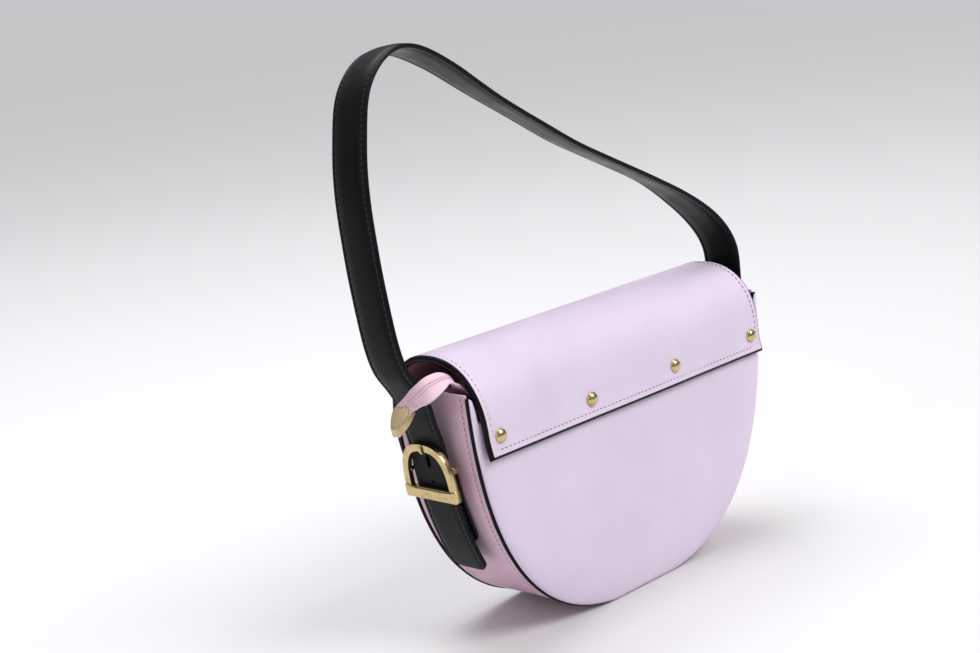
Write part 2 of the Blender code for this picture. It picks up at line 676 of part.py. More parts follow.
def make_flap():
    half = FLAP_HALF_WIDTH
    a = LEATHER
    b = a + GAP
    c = b + CORE
    d = c + GAP
    e = d + 0.0008
    layers = (
        ("outer", 0.0, a, half - 0.0005, (LILAC, 0.42, 0.0)),
        ("core", b, c, half, (BLACK, 0.35, 0.0)),
        ("lining", d, e, half - 0.0005, (ROSE, 0.6, 0.0)),
    )
    front = {}
    for tag, near, far, reach, look in layers:
        front[tag] = curved_sheet("flap_front_" + tag, flap_front_profile(near),
                                  flap_front_profile(far), reach, look)
        sewn = tag == "outer"
        curved_sheet("flap_back_" + tag, flap_back_profile(near, sewn),
                     flap_back_profile(far, sewn), reach, look)
    gold = (GOLD, 0.22, 1.0)
    for number in range(4):
        x = (number - 1.5) * STUD_SPACING
        stud = dome("stud_%d" % (number + 1), x, gold)
        hole = disc("stud_hole_%d" % (number + 1), 0.0018, FLAP_FRONT_Y - 0.002,
                    FLAP_FRONT_Y + 0.008, x, FLAP_TURN_Z - 0.0001, gold, 10)
        for sheet in front.values():
            cut(sheet, hole)
    for tag, sign in (("left", -1.0), ("right", 1.0)):
        x = sign * STUD_SPACING
        z = 0.1168
        hole = disc("plate_hole_" + tag, 0.0041, FLAP_FRONT_Y + 0.0013, FLAP_FRONT_Y + 0.0027, x, z,
                    gold, 14)
        cut(front["core"], hole)
        disc("flap_plate_" + tag, 0.0038, FLAP_FRONT_Y + b, FLAP_FRONT_Y + c, x, z,
             (STEEL, 0.4, 1.0), 14)
        pit = disc("magnet_hole_" + tag, 0.0063, -0.0290, -0.0225, x, z - 0.001, gold, 16)
        cut(bpy.data.objects["front_padding"], pit)
        disc("panel_magnet_" + tag, 0.0060, -0.0284, -0.0231 - GAP, x, z - 0.001,
             (STEEL, 0.4, 1.0), 16)


def dome(name, x, look):
    # turned dome with a straight post behind it
    bm = bmesh.new()
    sides = 14
    face = FLAP_FRONT_Y - GAP
    profile = [(0.0, face - 0.0026), (0.0016, face - 0.0024), (0.0029, face - 0.0018)]
    profile += [(0.0037, face - 0.0009), (STUD_RADIUS, face - 0.0002), (STUD_RADIUS, face)]
    profile += [(0.0015, face), (0.0015, FLAP_FRONT_Y + 0.0034), (0.0, FLAP_FRONT_Y + 0.0034)]
    rings = []
    z = FLAP_TURN_Z - 0.0001
    for radius, y in profile:
        if radius == 0.0:
            rings.append([bm.verts.new((x, y, z))])
            continue
        ring = []
        for k in range(sides):
            angle = 2.0 * math.pi * k / sides
            ring.append(bm.verts.new((x + radius * math.cos(angle), y, z + radius * math.sin(angle))))
        rings.append(ring)
    for one, two in zip(rings, rings[1:]):
        for k in range(sides):
            j = (k + 1) % sides
            if len(one) == 1:
                bm.faces.new((one[0], two[k], two[j]))
            elif len(two) == 1:
                bm.faces.new((one[k], two[0], one[j]))
            else:
                bm.faces.new((one[k], two[k], two[j], one[j]))
    return smooth(add_object(name, bm, look), 50.0)


clear_scene()
make_panels()
make_gusset()
make_pocket()
make_zip()
for side_name, side_sign in (("left", -1.0), ("right", 1.0)):
    make_side(side_name, side_sign)
make_strap()
make_flap()
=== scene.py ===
import bpy
import bmesh
import math
from mathutils import Matrix, Vector, noise


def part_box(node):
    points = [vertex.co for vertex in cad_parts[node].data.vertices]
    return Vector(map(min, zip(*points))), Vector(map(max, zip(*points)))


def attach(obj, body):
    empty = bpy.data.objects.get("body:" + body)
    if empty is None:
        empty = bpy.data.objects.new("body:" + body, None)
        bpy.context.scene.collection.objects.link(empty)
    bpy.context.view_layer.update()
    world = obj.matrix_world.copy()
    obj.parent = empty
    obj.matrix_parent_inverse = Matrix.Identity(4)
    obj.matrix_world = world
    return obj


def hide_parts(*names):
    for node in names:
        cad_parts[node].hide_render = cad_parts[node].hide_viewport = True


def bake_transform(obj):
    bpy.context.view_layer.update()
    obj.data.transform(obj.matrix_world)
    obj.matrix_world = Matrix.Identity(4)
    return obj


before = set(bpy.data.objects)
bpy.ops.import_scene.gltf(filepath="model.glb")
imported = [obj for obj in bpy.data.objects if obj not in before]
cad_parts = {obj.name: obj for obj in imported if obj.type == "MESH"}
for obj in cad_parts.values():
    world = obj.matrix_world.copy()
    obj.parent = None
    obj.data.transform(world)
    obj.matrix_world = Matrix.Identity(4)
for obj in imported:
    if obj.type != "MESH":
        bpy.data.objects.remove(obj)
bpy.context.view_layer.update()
print("frame loaded:", len(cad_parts), "nodes")


# finishes, all worked out from noise and waves on each piece's own coordinates
def srgb(r, g, b):
    def linear(v):
        v = v / 255.0
        return v / 12.92 if v <= 0.04045 else ((v + 0.055) / 1.055) ** 2.4
    return (linear(r), linear(g), linear(b), 1.0)


def newMaterial(name):
    mat = bpy.data.materials.new(name)
    mat.use_nodes = True
    nodes = mat.node_tree.nodes
    links = mat.node_tree.links
    return mat, nodes, links, nodes["Principled BSDF"]


def objectCoords(nodes, links, scale=(1.0, 1.0, 1.0)):
    coords = nodes.new("ShaderNodeTexCoord")
    mapping = nodes.new("ShaderNodeMapping")
    mapping.inputs["Scale"].default_value = scale
    links.new(coords.outputs["Object"], mapping.inputs["Vector"])
    return mapping.outputs["Vector"]


def noiseTexture(nodes, links, vector, scale, detail=4.0, rough=0.55):
    tex = nodes.new("ShaderNodeTexNoise")
    tex.inputs["Scale"].default_value = scale
    tex.inputs["Detail"].default_value = detail
    tex.inputs["Roughness"].default_value = rough
    links.new(vector, tex.inputs["Vector"])
    return tex


def ramp(nodes, links, value, low, high, lowAt=0.3, highAt=0.7):
    node = nodes.new("ShaderNodeValToRGB")
    node.color_ramp.elements[0].position = lowAt
    node.color_ramp.elements[1].position = highAt
    node.color_ramp.elements[0].color = low
    node.color_ramp.elements[1].color = high
    links.new(value, node.inputs["Fac"])
    return node.outputs["Color"]


def addBump(nodes, links, height, strength, distance, under=None):
    bump = nodes.new("ShaderNodeBump")
    bump.inputs["Strength"].default_value = strength
    bump.inputs["Distance"].default_value = distance
    links.new(height, bump.inputs["Height"])
    if under is not None:
        links.new(under, bump.inputs["Normal"])
    return bump.outputs["Normal"]


def grey(v):
    return (v, v, v, 1.0)


def leather(name, base, dark, roughness, grain=1400.0, grainDepth=0.00003, creaseDepth=0.00012, gloss=0.45):
    # smooth cow leather: faint clouding, fine pebble, slow creases, uneven shine
    mat, nodes, links, shader = newMaterial(name)
    vector = objectCoords(nodes, links)
    cloud = noiseTexture(nodes, links, vector, 16.0, 5.0)
    tint = ramp(nodes, links, cloud.outputs["Fac"], dark, base, 0.28, 0.62)
    links.new(tint, shader.inputs["Base Color"])
    shine = noiseTexture(nodes, links, vector, 60.0, 6.0)
    shineRamp = ramp(nodes, links, shine.outputs["Fac"], grey(roughness - 0.06), grey(roughness + 0.08))
    links.new(shineRamp, shader.inputs["Roughness"])
    pebble = nodes.new("ShaderNodeTexVoronoi")
    pebble.feature = "SMOOTH_F1"
    pebble.inputs["Scale"].default_value = grain
    links.new(vector, pebble.inputs["Vector"])
    fine = addBump(nodes, links, pebble.outputs["Distance"], 0.35, grainDepth)
    slow = noiseTexture(nodes, links, vector, 48.0, 3.0, 0.4)
    crease = addBump(nodes, links, slow.outputs["Fac"], 0.5, creaseDepth, fine)
    links.new(crease, shader.inputs["Normal"])
    shader.inputs["Specular IOR Level"].default_value = gloss
    return mat


def metal(name, base, worn, roughness):
    # cast and polished plating, a little cloudy, duller in places
    mat, nodes, links, shader = newMaterial(name)
    shader.inputs["Metallic"].default_value = 1.0
    vector = objectCoords(nodes, links)
    cloud = noiseTexture(nodes, links, vector, 260.0, 6.0)
    links.new(ramp(nodes, links, cloud.outputs["Fac"], worn, base, 0.25, 0.5), shader.inputs["Base Color"])
    rub = noiseTexture(nodes, links, vector, 700.0, 5.0, 0.6)
    rubRamp = ramp(nodes, links, rub.outputs["Fac"], grey(roughness), grey(roughness + 0.16), 0.4, 0.8)
    links.new(rubRamp, shader.inputs["Roughness"])
    bump = addBump(nodes, links, cloud.outputs["Fac"], 0.15, 0.00005)
    links.new(bump, shader.inputs["Normal"])
    return mat


def cloth(name, base, dark, pitch, roughness=0.85, depth=0.0001):
    # plain weave from two crossed wave patterns
    mat, nodes, links, shader = newMaterial(name)
    vector = objectCoords(nodes, links)
    waves = []
    for direction in ("X", "Y", "Z"):
        wave = nodes.new("ShaderNodeTexWave")
        wave.bands_direction = direction
        wave.inputs["Scale"].default_value = 0.314 / pitch
        wave.inputs["Distortion"].default_value = 0.4
        links.new(vector, wave.inputs["Vector"])
        waves.append(wave.outputs["Fac"])
    total = waves[0]
    for other in waves[1:]:
        add = nodes.new("ShaderNodeMath")
        add.operation = "MULTIPLY_ADD"
        links.new(other, add.inputs[0])
        add.inputs[1].default_value = 0.5
        links.new(total, add.inputs[2])
        total = add.outputs[0]
    links.new(ramp(nodes, links, total, dark, base, 0.35, 1.2), shader.inputs["Base Color"])
    shader.inputs["Roughness"].default_value = roughness
    bump = addBump(nodes, links, total, 0.5, depth)
    links.new(bump, shader.inputs["Normal"])
    return mat


def thread(name, base, dark):
    mat, nodes, links, shader = newMaterial(name)
    vector = objectCoords(nodes, links)
    twist = noiseTexture(nodes, links, vector, 2600.0, 3.0)
    links.new(ramp(nodes, links, twist.outputs["Fac"], dark, base), shader.inputs["Base Color"])
    shader.inputs["Roughness"].default_value = 0.6
    bump = addBump(nodes, links, twist.outputs["Fac"], 0.5, 0.00008)
    links.new(bump, shader.inputs["Normal"])
    return mat


lilacLeather = leather("lilacLeather", srgb(220, 206, 226), srgb(213, 197, 219), 0.38)
roseLeather = leather("roseLeather", srgb(222, 188, 206), srgb(208, 170, 190), 0.44)
liningLeather = leather("liningLeather", srgb(212, 156, 172), srgb(192, 134, 152), 0.62, 900.0, 0.00006)
blackLeather = leather("blackLeather", srgb(13, 17, 19), srgb(7, 9, 11), 0.37, 1100.0, 0.00004, 0.0001, 0.13)
blackEdge = leather("blackEdge", srgb(14, 14, 16), srgb(8, 8, 9), 0.34, 500.0, 0.00002, 0.00014, 0.13)
goldMetal = metal("goldMetal", (0.62, 0.49, 0.25, 1.0), (0.42, 0.32, 0.15, 1.0), 0.15)
goldSatin = metal("goldSatin", (0.60, 0.47, 0.28, 1.0), (0.52, 0.40, 0.23, 1.0), 0.36)
steel = metal("steel", (0.56, 0.56, 0.58, 1.0), (0.42, 0.42, 0.44, 1.0), 0.35)
tapeCloth = cloth("tapeCloth", srgb(238, 206, 219), srgb(222, 184, 201), 0.00045, 0.85, 0.00005)
coilPlastic = thread("coilPlastic", srgb(214, 178, 196), srgb(186, 146, 166))
liningCloth = cloth("liningCloth", srgb(190, 160, 176), srgb(158, 126, 144), 0.0007)
boardFibre = cloth("boardFibre", srgb(168, 150, 128), srgb(140, 122, 102), 0.0011, 0.95)
foamPad = cloth("foamPad", srgb(228, 226, 218), srgb(200, 198, 190), 0.0013, 0.95)
pinkThread = thread("pinkThread", srgb(164, 112, 134), srgb(122, 74, 96))
blackThread = thread("blackThread", srgb(66, 74, 80), srgb(40, 46, 50))
print("materials made")


# helpers for meshes, curves and rows of stitches
def objectMode():
    bpy.ops.object.mode_set(mode="OBJECT")


def editMode():
    bpy.ops.object.mode_set(mode="EDIT")


def selectAll():
    bpy.ops.mesh.select_all(action="SELECT")


def clearSelection():
    if bpy.context.mode != "OBJECT":
        objectMode()
    bpy.ops.object.select_all(action="DESELECT")


def makeActive(piece):
    clearSelection()
    piece.select_set(True)
    bpy.context.view_layer.objects.active = piece


def applyPlace():
    bpy.ops.object.transform_apply(location=True, rotation=True, scale=True)


def slide(x, y, z):
    bpy.ops.transform.translate(value=(x, y, z))


def extrude(x, y, z):
    bpy.ops.mesh.extrude_region_move(TRANSFORM_OT_translate={"value": (x, y, z)})


def newObject(name, bm, materials):
    mesh = bpy.data.meshes.new(name)
    bmesh.ops.recalc_face_normals(bm, faces=bm.faces)
    bm.to_mesh(mesh)
    bm.free()
    piece = bpy.data.objects.new(name, mesh)
    bpy.context.scene.collection.objects.link(piece)
    for mat in materials:
        mesh.materials.append(mat)
    return piece


def smoothShade(piece, degrees=40.0):
    piece.data.shade_smooth()
    piece.data.set_sharp_from_angle(angle=math.radians(degrees))


def loft(bm, rings, slot=0):
    # walls from ring to ring, and a face over each end
    made = [[bm.verts.new(p) for p in ring] for ring in rings]
    for one, two in zip(made, made[1:]):
        total = len(one)
        for k in range(total):
            j = (k + 1) % total
            face = bm.faces.new((one[k], one[j], two[j], two[k]))
            face.material_index = slot
    for end in (made[0], made[-1]):
        cap = bm.faces.new(end)
        cap.material_index = slot


def lerp(a, b, t):
    return a + (b - a) * t


def smoothStep(a, b, v):
    t = min(1.0, max(0.0, (v - a) / (b - a)))
    return t * t * (3.0 - 2.0 * t)


def catmull(points, steps):
    ends = [points[0]] + list(points) + [points[-1]]
    curve = []
    for i in range(1, len(ends) - 2):
        p0, p1, p2, p3 = (Vector(p) for p in ends[i - 1:i + 3])
        for s in range(steps):
            t = s / steps
            curve.append((2.0 * p1 + (p2 - p0) * t + (2.0 * p0 - 5.0 * p1 + 4.0 * p2 - p3) * t * t
                          + (3.0 * p1 - p0 - 3.0 * p2 + p3) * t * t * t) * 0.5)
    curve.append(Vector(points[-1]))
    return curve


def runLengths(points):
    # distance along the path to each point
    lengths = [0.0]
    for a, b in zip(points, points[1:]):
        lengths.append(lengths[-1] + (b - a).length)
    return lengths


def resample(points, spacing):
    lengths = runLengths(points)
    count = max(2, round(lengths[-1] / spacing))
    result = []
    k = 0
    for i in range(count + 1):
        target = lengths[-1] * i / count
        while k < len(points) - 2 and lengths[k + 1] < target:
            k += 1
        span = max(1e-9, lengths[k + 1] - lengths[k])
        result.append(points[k].lerp(points[k + 1], (target - lengths[k]) / span))
    return result


stitchShape = {"length": 0.0023, "pitch": 0.0032, "radius": 0.00028, "sink": 0.00010}


def addStitches(bm, path, normals, slot):
    # short rounded bars of thread that lie on the leather along a path
    shape = stitchShape
    lengths = runLengths(path)

    def at(distance):
        k = 0
        while k < len(path) - 2 and lengths[k + 1] < distance:
            k += 1
        span = max(1e-9, lengths[k + 1] - lengths[k])
        t = (distance - lengths[k]) / span
        return path[k].lerp(path[k + 1], t), normals[k].lerp(normals[k + 1], t).normalized()

    distance = shape["length"] / 2.0
    while distance + shape["length"] / 2.0 < lengths[-1]:
        middle, up = at(distance)
        back = at(distance - shape["length"] / 2.0)[0]
        ahead = at(distance + shape["length"] / 2.0)[0]
        run = (ahead - back).normalized()
        side = run.cross(up).normalized()
        rings = []
        for share, size, lift in ((-0.5, 0.35, -0.6), (-0.34, 0.95, 0.35), (0.0, 1.0, 0.6),
                                  (0.34, 0.95, 0.35), (0.5, 0.35, -0.6)):
            centre = middle + run * (share * shape["length"])
            centre = centre + up * (lift * shape["radius"] - shape["sink"])
            ring = []
            for k in range(6):
                angle = math.pi * 2.0 * k / 6.0
                offset = side * math.cos(angle) * 1.15 + up * math.sin(angle)
                ring.append(centre + offset * (shape["radius"] * size))
            rings.append(ring)
        loft(bm, rings, slot)
        distance += shape["pitch"]


# the half-moon outline that panels, gusset and edges share
bodyShape = {
    "halfWidth": 0.125, "roundHeight": 0.166, "power": 2.64, "baseCut": 0.0012,
    "cornerTop": 0.1445, "frontDip": 0.1295, "backTop": 0.1375, "halfDepth": 0.0262,
    "earInner": 0.1202,
}


def sideX(z):
    b = bodyShape
    drop = max(0.0, b["roundHeight"] - b["baseCut"] - z) / b["roundHeight"]
    return b["halfWidth"] * (1.0 - min(1.0, drop) ** b["power"]) ** (1.0 / b["power"])


def outline(top, inset, count=64):
    # open path in XZ from the right corner, round the base, to the left corner
    b = bodyShape
    wide = b["halfWidth"]
    tall = b["roundHeight"]
    power = b["power"]
    flat = wide * (1.0 - (1.0 - b["baseCut"] / tall) ** power) ** (1.0 / power)
    start = math.acos((flat / wide) ** (power / 2.0))
    end = math.asin(((tall - b["baseCut"] - top) / tall) ** (power / 2.0))
    half = []
    for i in range(count + 1):
        angle = start + (end - start) * i / count
        x = wide * math.cos(angle) ** (2.0 / power)
        z = tall * (1.0 - math.sin(angle) ** (2.0 / power)) - b["baseCut"]
        half.append(Vector((x, z)))
    half[0].y = 0.0
    flatSteps = 12
    base = [Vector((half[0].x * (1.0 - 2.0 * k / flatSteps), 0.0)) for k in range(1, flatSteps)]
    path = list(reversed(half)) + base + [Vector((-p.x, p.y)) for p in half]
    moved = []
    for i, point in enumerate(path):
        before = path[i] - path[max(0, i - 1)]
        after = path[min(len(path) - 1, i + 1)] - path[i]
        if before.length < 1e-9:
            before = after
        if after.length < 1e-9:
            after = before
        n1 = Vector((before.y, -before.x)).normalized()
        n2 = Vector((after.y, -after.x)).normalized()
        normal = (n1 + n2).normalized()
        moved.append(point + normal * (inset / max(0.5, normal.dot(n1))))
    moved[0].y = top
    moved[-1].y = top
    return moved


# padded front and back panels: places on the rim are (inset, y)
panelSettings = {
    "front": {"rim": [(0.0016, -0.0262), (0.0006, -0.0288), (0.0003, -0.0292), (0.0005, -0.0297),
                      (0.0010, -0.0301), (0.0019, -0.0305), (0.0032, -0.0309), (0.0052, -0.0313),
                      (0.0080, -0.0316), (0.0120, -0.0318), (0.0180, -0.0320)],
              "bulge": 0.0026, "bulgeTop": 0.107, "earHeight": 0.015, "tuck": 0.22},
    "back": {"rim": [(0.0016, 0.0262), (0.0006, 0.0288), (0.0003, 0.0291), (0.0008, 0.0296),
                     (0.0019, 0.0299), (0.0040, 0.0302), (0.0080, 0.0304), (0.0140, 0.0305)],
             "bulge": 0.0004, "bulgeTop": 0.080, "earHeight": 0.0, "tuck": 1.0},
    "centre": (0.0, 0.078), "rimY": 0.0288,
    "shrink": [0.93, 0.84, 0.74, 0.63, 0.52, 0.40, 0.28, 0.16, 0.06],
}


def panelRing(side, inset):
    b = bodyShape
    settings = panelSettings[side]
    dip = b["frontDip"] if side == "front" else b["backTop"]
    ear = settings["earHeight"] * max(0.0, 1.0 - inset / 0.0048) ** 0.8
    top = dip - inset + ear
    path = outline(top, inset)
    corner = -path[-1].x
    inner = min(b["earInner"] - 0.0002, corner - 0.0004)
    topLine = [(-lerp(corner, inner, 0.5), top - ear * 0.12), (-lerp(corner, inner, 0.85), top - ear * 0.55)]
    topLine.append((-inner, dip - inset))
    steps = 30
    topLine += [(-inner + 2.0 * inner * k / steps, dip - inset) for k in range(1, steps)]
    topLine.append((inner, dip - inset))
    topLine += [(lerp(corner, inner, 0.85), top - ear * 0.55), (lerp(corner, inner, 0.5), top - ear * 0.12)]
    return path + [Vector(p) for p in topLine]


def makePanel(name, side, node):
    settings = panelSettings[side]
    sign = -1.0 if side == "front" else 1.0
    bm = bmesh.new()
    rings = []
    last = None
    for inset, y in settings["rim"]:
        last = panelRing(side, inset)
        rings.append([(p.x, y, p.y) for p in last])
    flatY = settings["rim"][-1][1]
    centre = Vector(panelSettings["centre"])
    for scale in panelSettings["shrink"]:
        smaller = [(p - centre) * scale + centre for p in last]
        rings.append([(p.x, flatY, p.y) for p in smaller])
    shaped = []
    for ring in rings:
        moved = []
        for x, y, z in ring:
            reach = 1.0 - (abs(x) / 0.118) ** 2.2
            fall = smoothStep(0.006, 0.055, z) * (1.0 - smoothStep(0.070, settings["bulgeTop"], z))
            swell = settings["bulge"] * max(0.0, reach) * fall
            soft = noise.noise(Vector((x * 22.0, z * 22.0, sign * 3.0))) * 0.00022
            inside = smoothStep(0.0295, 0.0318, abs(y))
            under = 1.0 - 0.85 * smoothStep(0.098, 0.108, z)
            y += sign * (swell * inside + soft * inside * under)
            # the padding is pressed thin where the flap lies over it
            rimY = panelSettings["rimY"]
            if abs(y) > rimY:
                pressed = lerp(1.0, settings["tuck"], smoothStep(0.104, 0.117, z))
                y = sign * (rimY + (abs(y) - rimY) * pressed)
            moved.append((x, y, z))
        shaped.append(moved)
    loft(bm, shaped)
    panel = newObject(name, bm, [lilacLeather])
    smoothShade(panel, 50.0)
    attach(panel, "bag")
    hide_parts(node)


makePanel("frontPanelPadded", "front", "front_panel")
makePanel("backPanelPadded", "back", "back_panel")
print("panels made")


# gusset, its stitching and the painted edges
gussetSettings = {"thick": 0.0016, "stitchY": 0.0226, "groove": 0.00035, "hollow": 0.0009}


def outlineNormals(path):
    normals = []
    for i in range(len(path)):
        run = path[min(len(path) - 1, i + 1)] - path[max(0, i - 1)]
        normals.append(Vector((-run.y, run.x)).normalized())
    return normals


def makeGusset():
    g = gussetSettings
    half = bodyShape["halfDepth"]
    path = outline(bodyShape["cornerTop"], 0.0, 90)
    normals = outlineNormals(path)
    across = [-half, -half + 0.0004, -half + 0.0016, -g["stitchY"] - 0.0007, -g["stitchY"],
              -g["stitchY"] + 0.0007, -0.0170, -0.0110, -0.0055, 0.0]
    across += [-y for y in reversed(across[:-1])]
    bm = bmesh.new()
    rings = []
    for point, normal in zip(path, normals):
        ring = []
        fade = smoothStep(0.0, 0.02, point.y)
        for y in across:
            low = g["hollow"] * (1.0 - (y / half) ** 2) * fade
            if abs(abs(y) - g["stitchY"]) < 0.0001:
                low += g["groove"] * fade
            if abs(y) > half - 0.0002:
                low += 0.0003
            low += 0.00015 * fade * noise.noise(Vector((point.x * 40.0, y * 60.0, point.y * 40.0)))
            spot = point - normal * low
            ring.append((spot.x, y, spot.y))
        for y in (half - 0.0002, 0.0, -half + 0.0002):
            spot = point - normal * (g["thick"] + g["hollow"] * (1.0 - (y / half) ** 2) * fade)
            ring.append((spot.x, y, spot.y))
        rings.append(ring)
    loft(bm, rings)
    for sign in (-1.0, 1.0):
        line = []
        ups = []
        for point, normal in zip(path, normals):
            low = g["hollow"] * (1.0 - (g["stitchY"] / half) ** 2) + g["groove"]
            low *= smoothStep(0.0, 0.02, point.y)
            spot = point - normal * low
            line.append(Vector((spot.x, sign * g["stitchY"], spot.y)))
            ups.append(Vector((normal.x, 0.0, normal.y)))
        keep = [i for i, p in enumerate(line) if p.z > 0.0035]
        rightRun = [i for i in keep if line[i].x > 0.0]
        leftRun = [i for i in keep if line[i].x < 0.0]
        for run in (rightRun, leftRun):
            addStitches(bm, [line[i] for i in run], [ups[i] for i in run], 1)
    gusset = newObject("gussetLeather", bm, [roseLeather, pinkThread])
    smoothShade(gusset, 45.0)
    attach(gusset, "bag")
    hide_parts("gusset")


edgeSettings = {"width": 0.0021, "proud": 0.0007, "inner": 0.0018}


def makeEdge(name, sign, top, node):
    e = edgeSettings
    middle = sign * (bodyShape["halfDepth"] + 0.0003 + 0.0010)
    path = outline(top, 0.0, 90)
    normals = outlineNormals(path)
    half = [(0.22, e["proud"] * 0.9), (0.42, 0.0003), (0.5, -0.0002), (0.5, -e["inner"])]
    section = [(-a, out) for a, out in reversed(half)] + [(0.0, e["proud"])] + half
    bm = bmesh.new()
    rings = []
    for point, normal in zip(path, normals):
        ring = []
        wobble = 0.00012 * noise.noise(Vector((point.x * 90.0, sign * 5.0, point.y * 90.0)))
        for share, out in section:
            spot = point + normal * (out + (wobble if out > 0.0 else 0.0))
            ring.append((spot.x, middle + share * e["width"], max(0.0002, spot.y)))
        rings.append(ring)
    loft(bm, rings)
    edge = newObject(name, bm, [blackEdge])
    smoothShade(edge, 60.0)
    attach(edge, "bag")
    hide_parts(node)


makeGusset()
makeEdge("frontSeamEdge", -1.0, bodyShape["cornerTop"] - 0.0014, "front_edge")
makeEdge("backSeamEdge", 1.0, bodyShape["backTop"], "back_edge")
print("gusset and edges made")


# flap: one sheet of leather with a painted edge
flapSettings = {
    "halfWidth": 0.1188, "ridgeExtra": 0.0014, "frontY": -0.0336, "flare": 0.0021, "edgeZ": 0.1090,
    "turnZ": 0.1203, "topZ": 0.1616, "topY": 0.0037, "backY": 0.0364, "frontPower": 2.3, "backPower": 2.4,
    "proud": 0.0002, "thick": 0.0038, "seamThick": 0.0016, "stitch": 0.0044, "paint": 0.0018,
    "groove": 0.0003, "grooveHalf": 0.0007, "wave": 0.00045, "waveRate": 52.0, "waveRun": 0.020,
    "tail": [(0.0012, 0.1120), (0.0032, 0.1045), (0.0044, 0.0985), (0.0044, 0.0870)],
    # rows of points crowd together at the rounded edges
    "nearEdge": [0.0, 0.00012, 0.0004, 0.0009, 0.0013, 0.0017, 0.0021, 0.0030, 0.0039, 0.0046, 0.0053, 0.0066,
                 0.0090],
    "columns": 76, "rowStep": 0.0021,
}


def flapPath():
    # outer face from the front edge over the ridge to the sewn edge at the back
    f = flapSettings
    points = []
    for i in range(8):
        share = i / 8.0
        y = f["frontY"] - f["flare"] * (1.0 - share) ** 1.4
        points.append(Vector((y, lerp(f["edgeZ"], f["turnZ"], share))))
    wide = f["topY"] - f["frontY"]
    tall = f["topZ"] - f["turnZ"]
    for i in range(41):
        angle = math.pi / 2.0 * i / 40.0
        y = f["topY"] - wide * math.cos(angle) ** (2.0 / f["frontPower"])
        points.append(Vector((y, f["turnZ"] + tall * math.sin(angle) ** (2.0 / f["frontPower"]))))
    back = f["backY"] - f["topY"]
    for i in range(1, 41):
        angle = math.pi / 2.0 * (1.0 - i / 40.0)
        y = f["topY"] + back * math.cos(angle) ** (2.0 / f["backPower"])
        points.append(Vector((y, f["turnZ"] + tall * math.sin(angle) ** (2.0 / f["backPower"]))))
    points += [Vector((f["backY"] - inward, z)) for inward, z in f["tail"]]
    return resample(points, 0.0005)


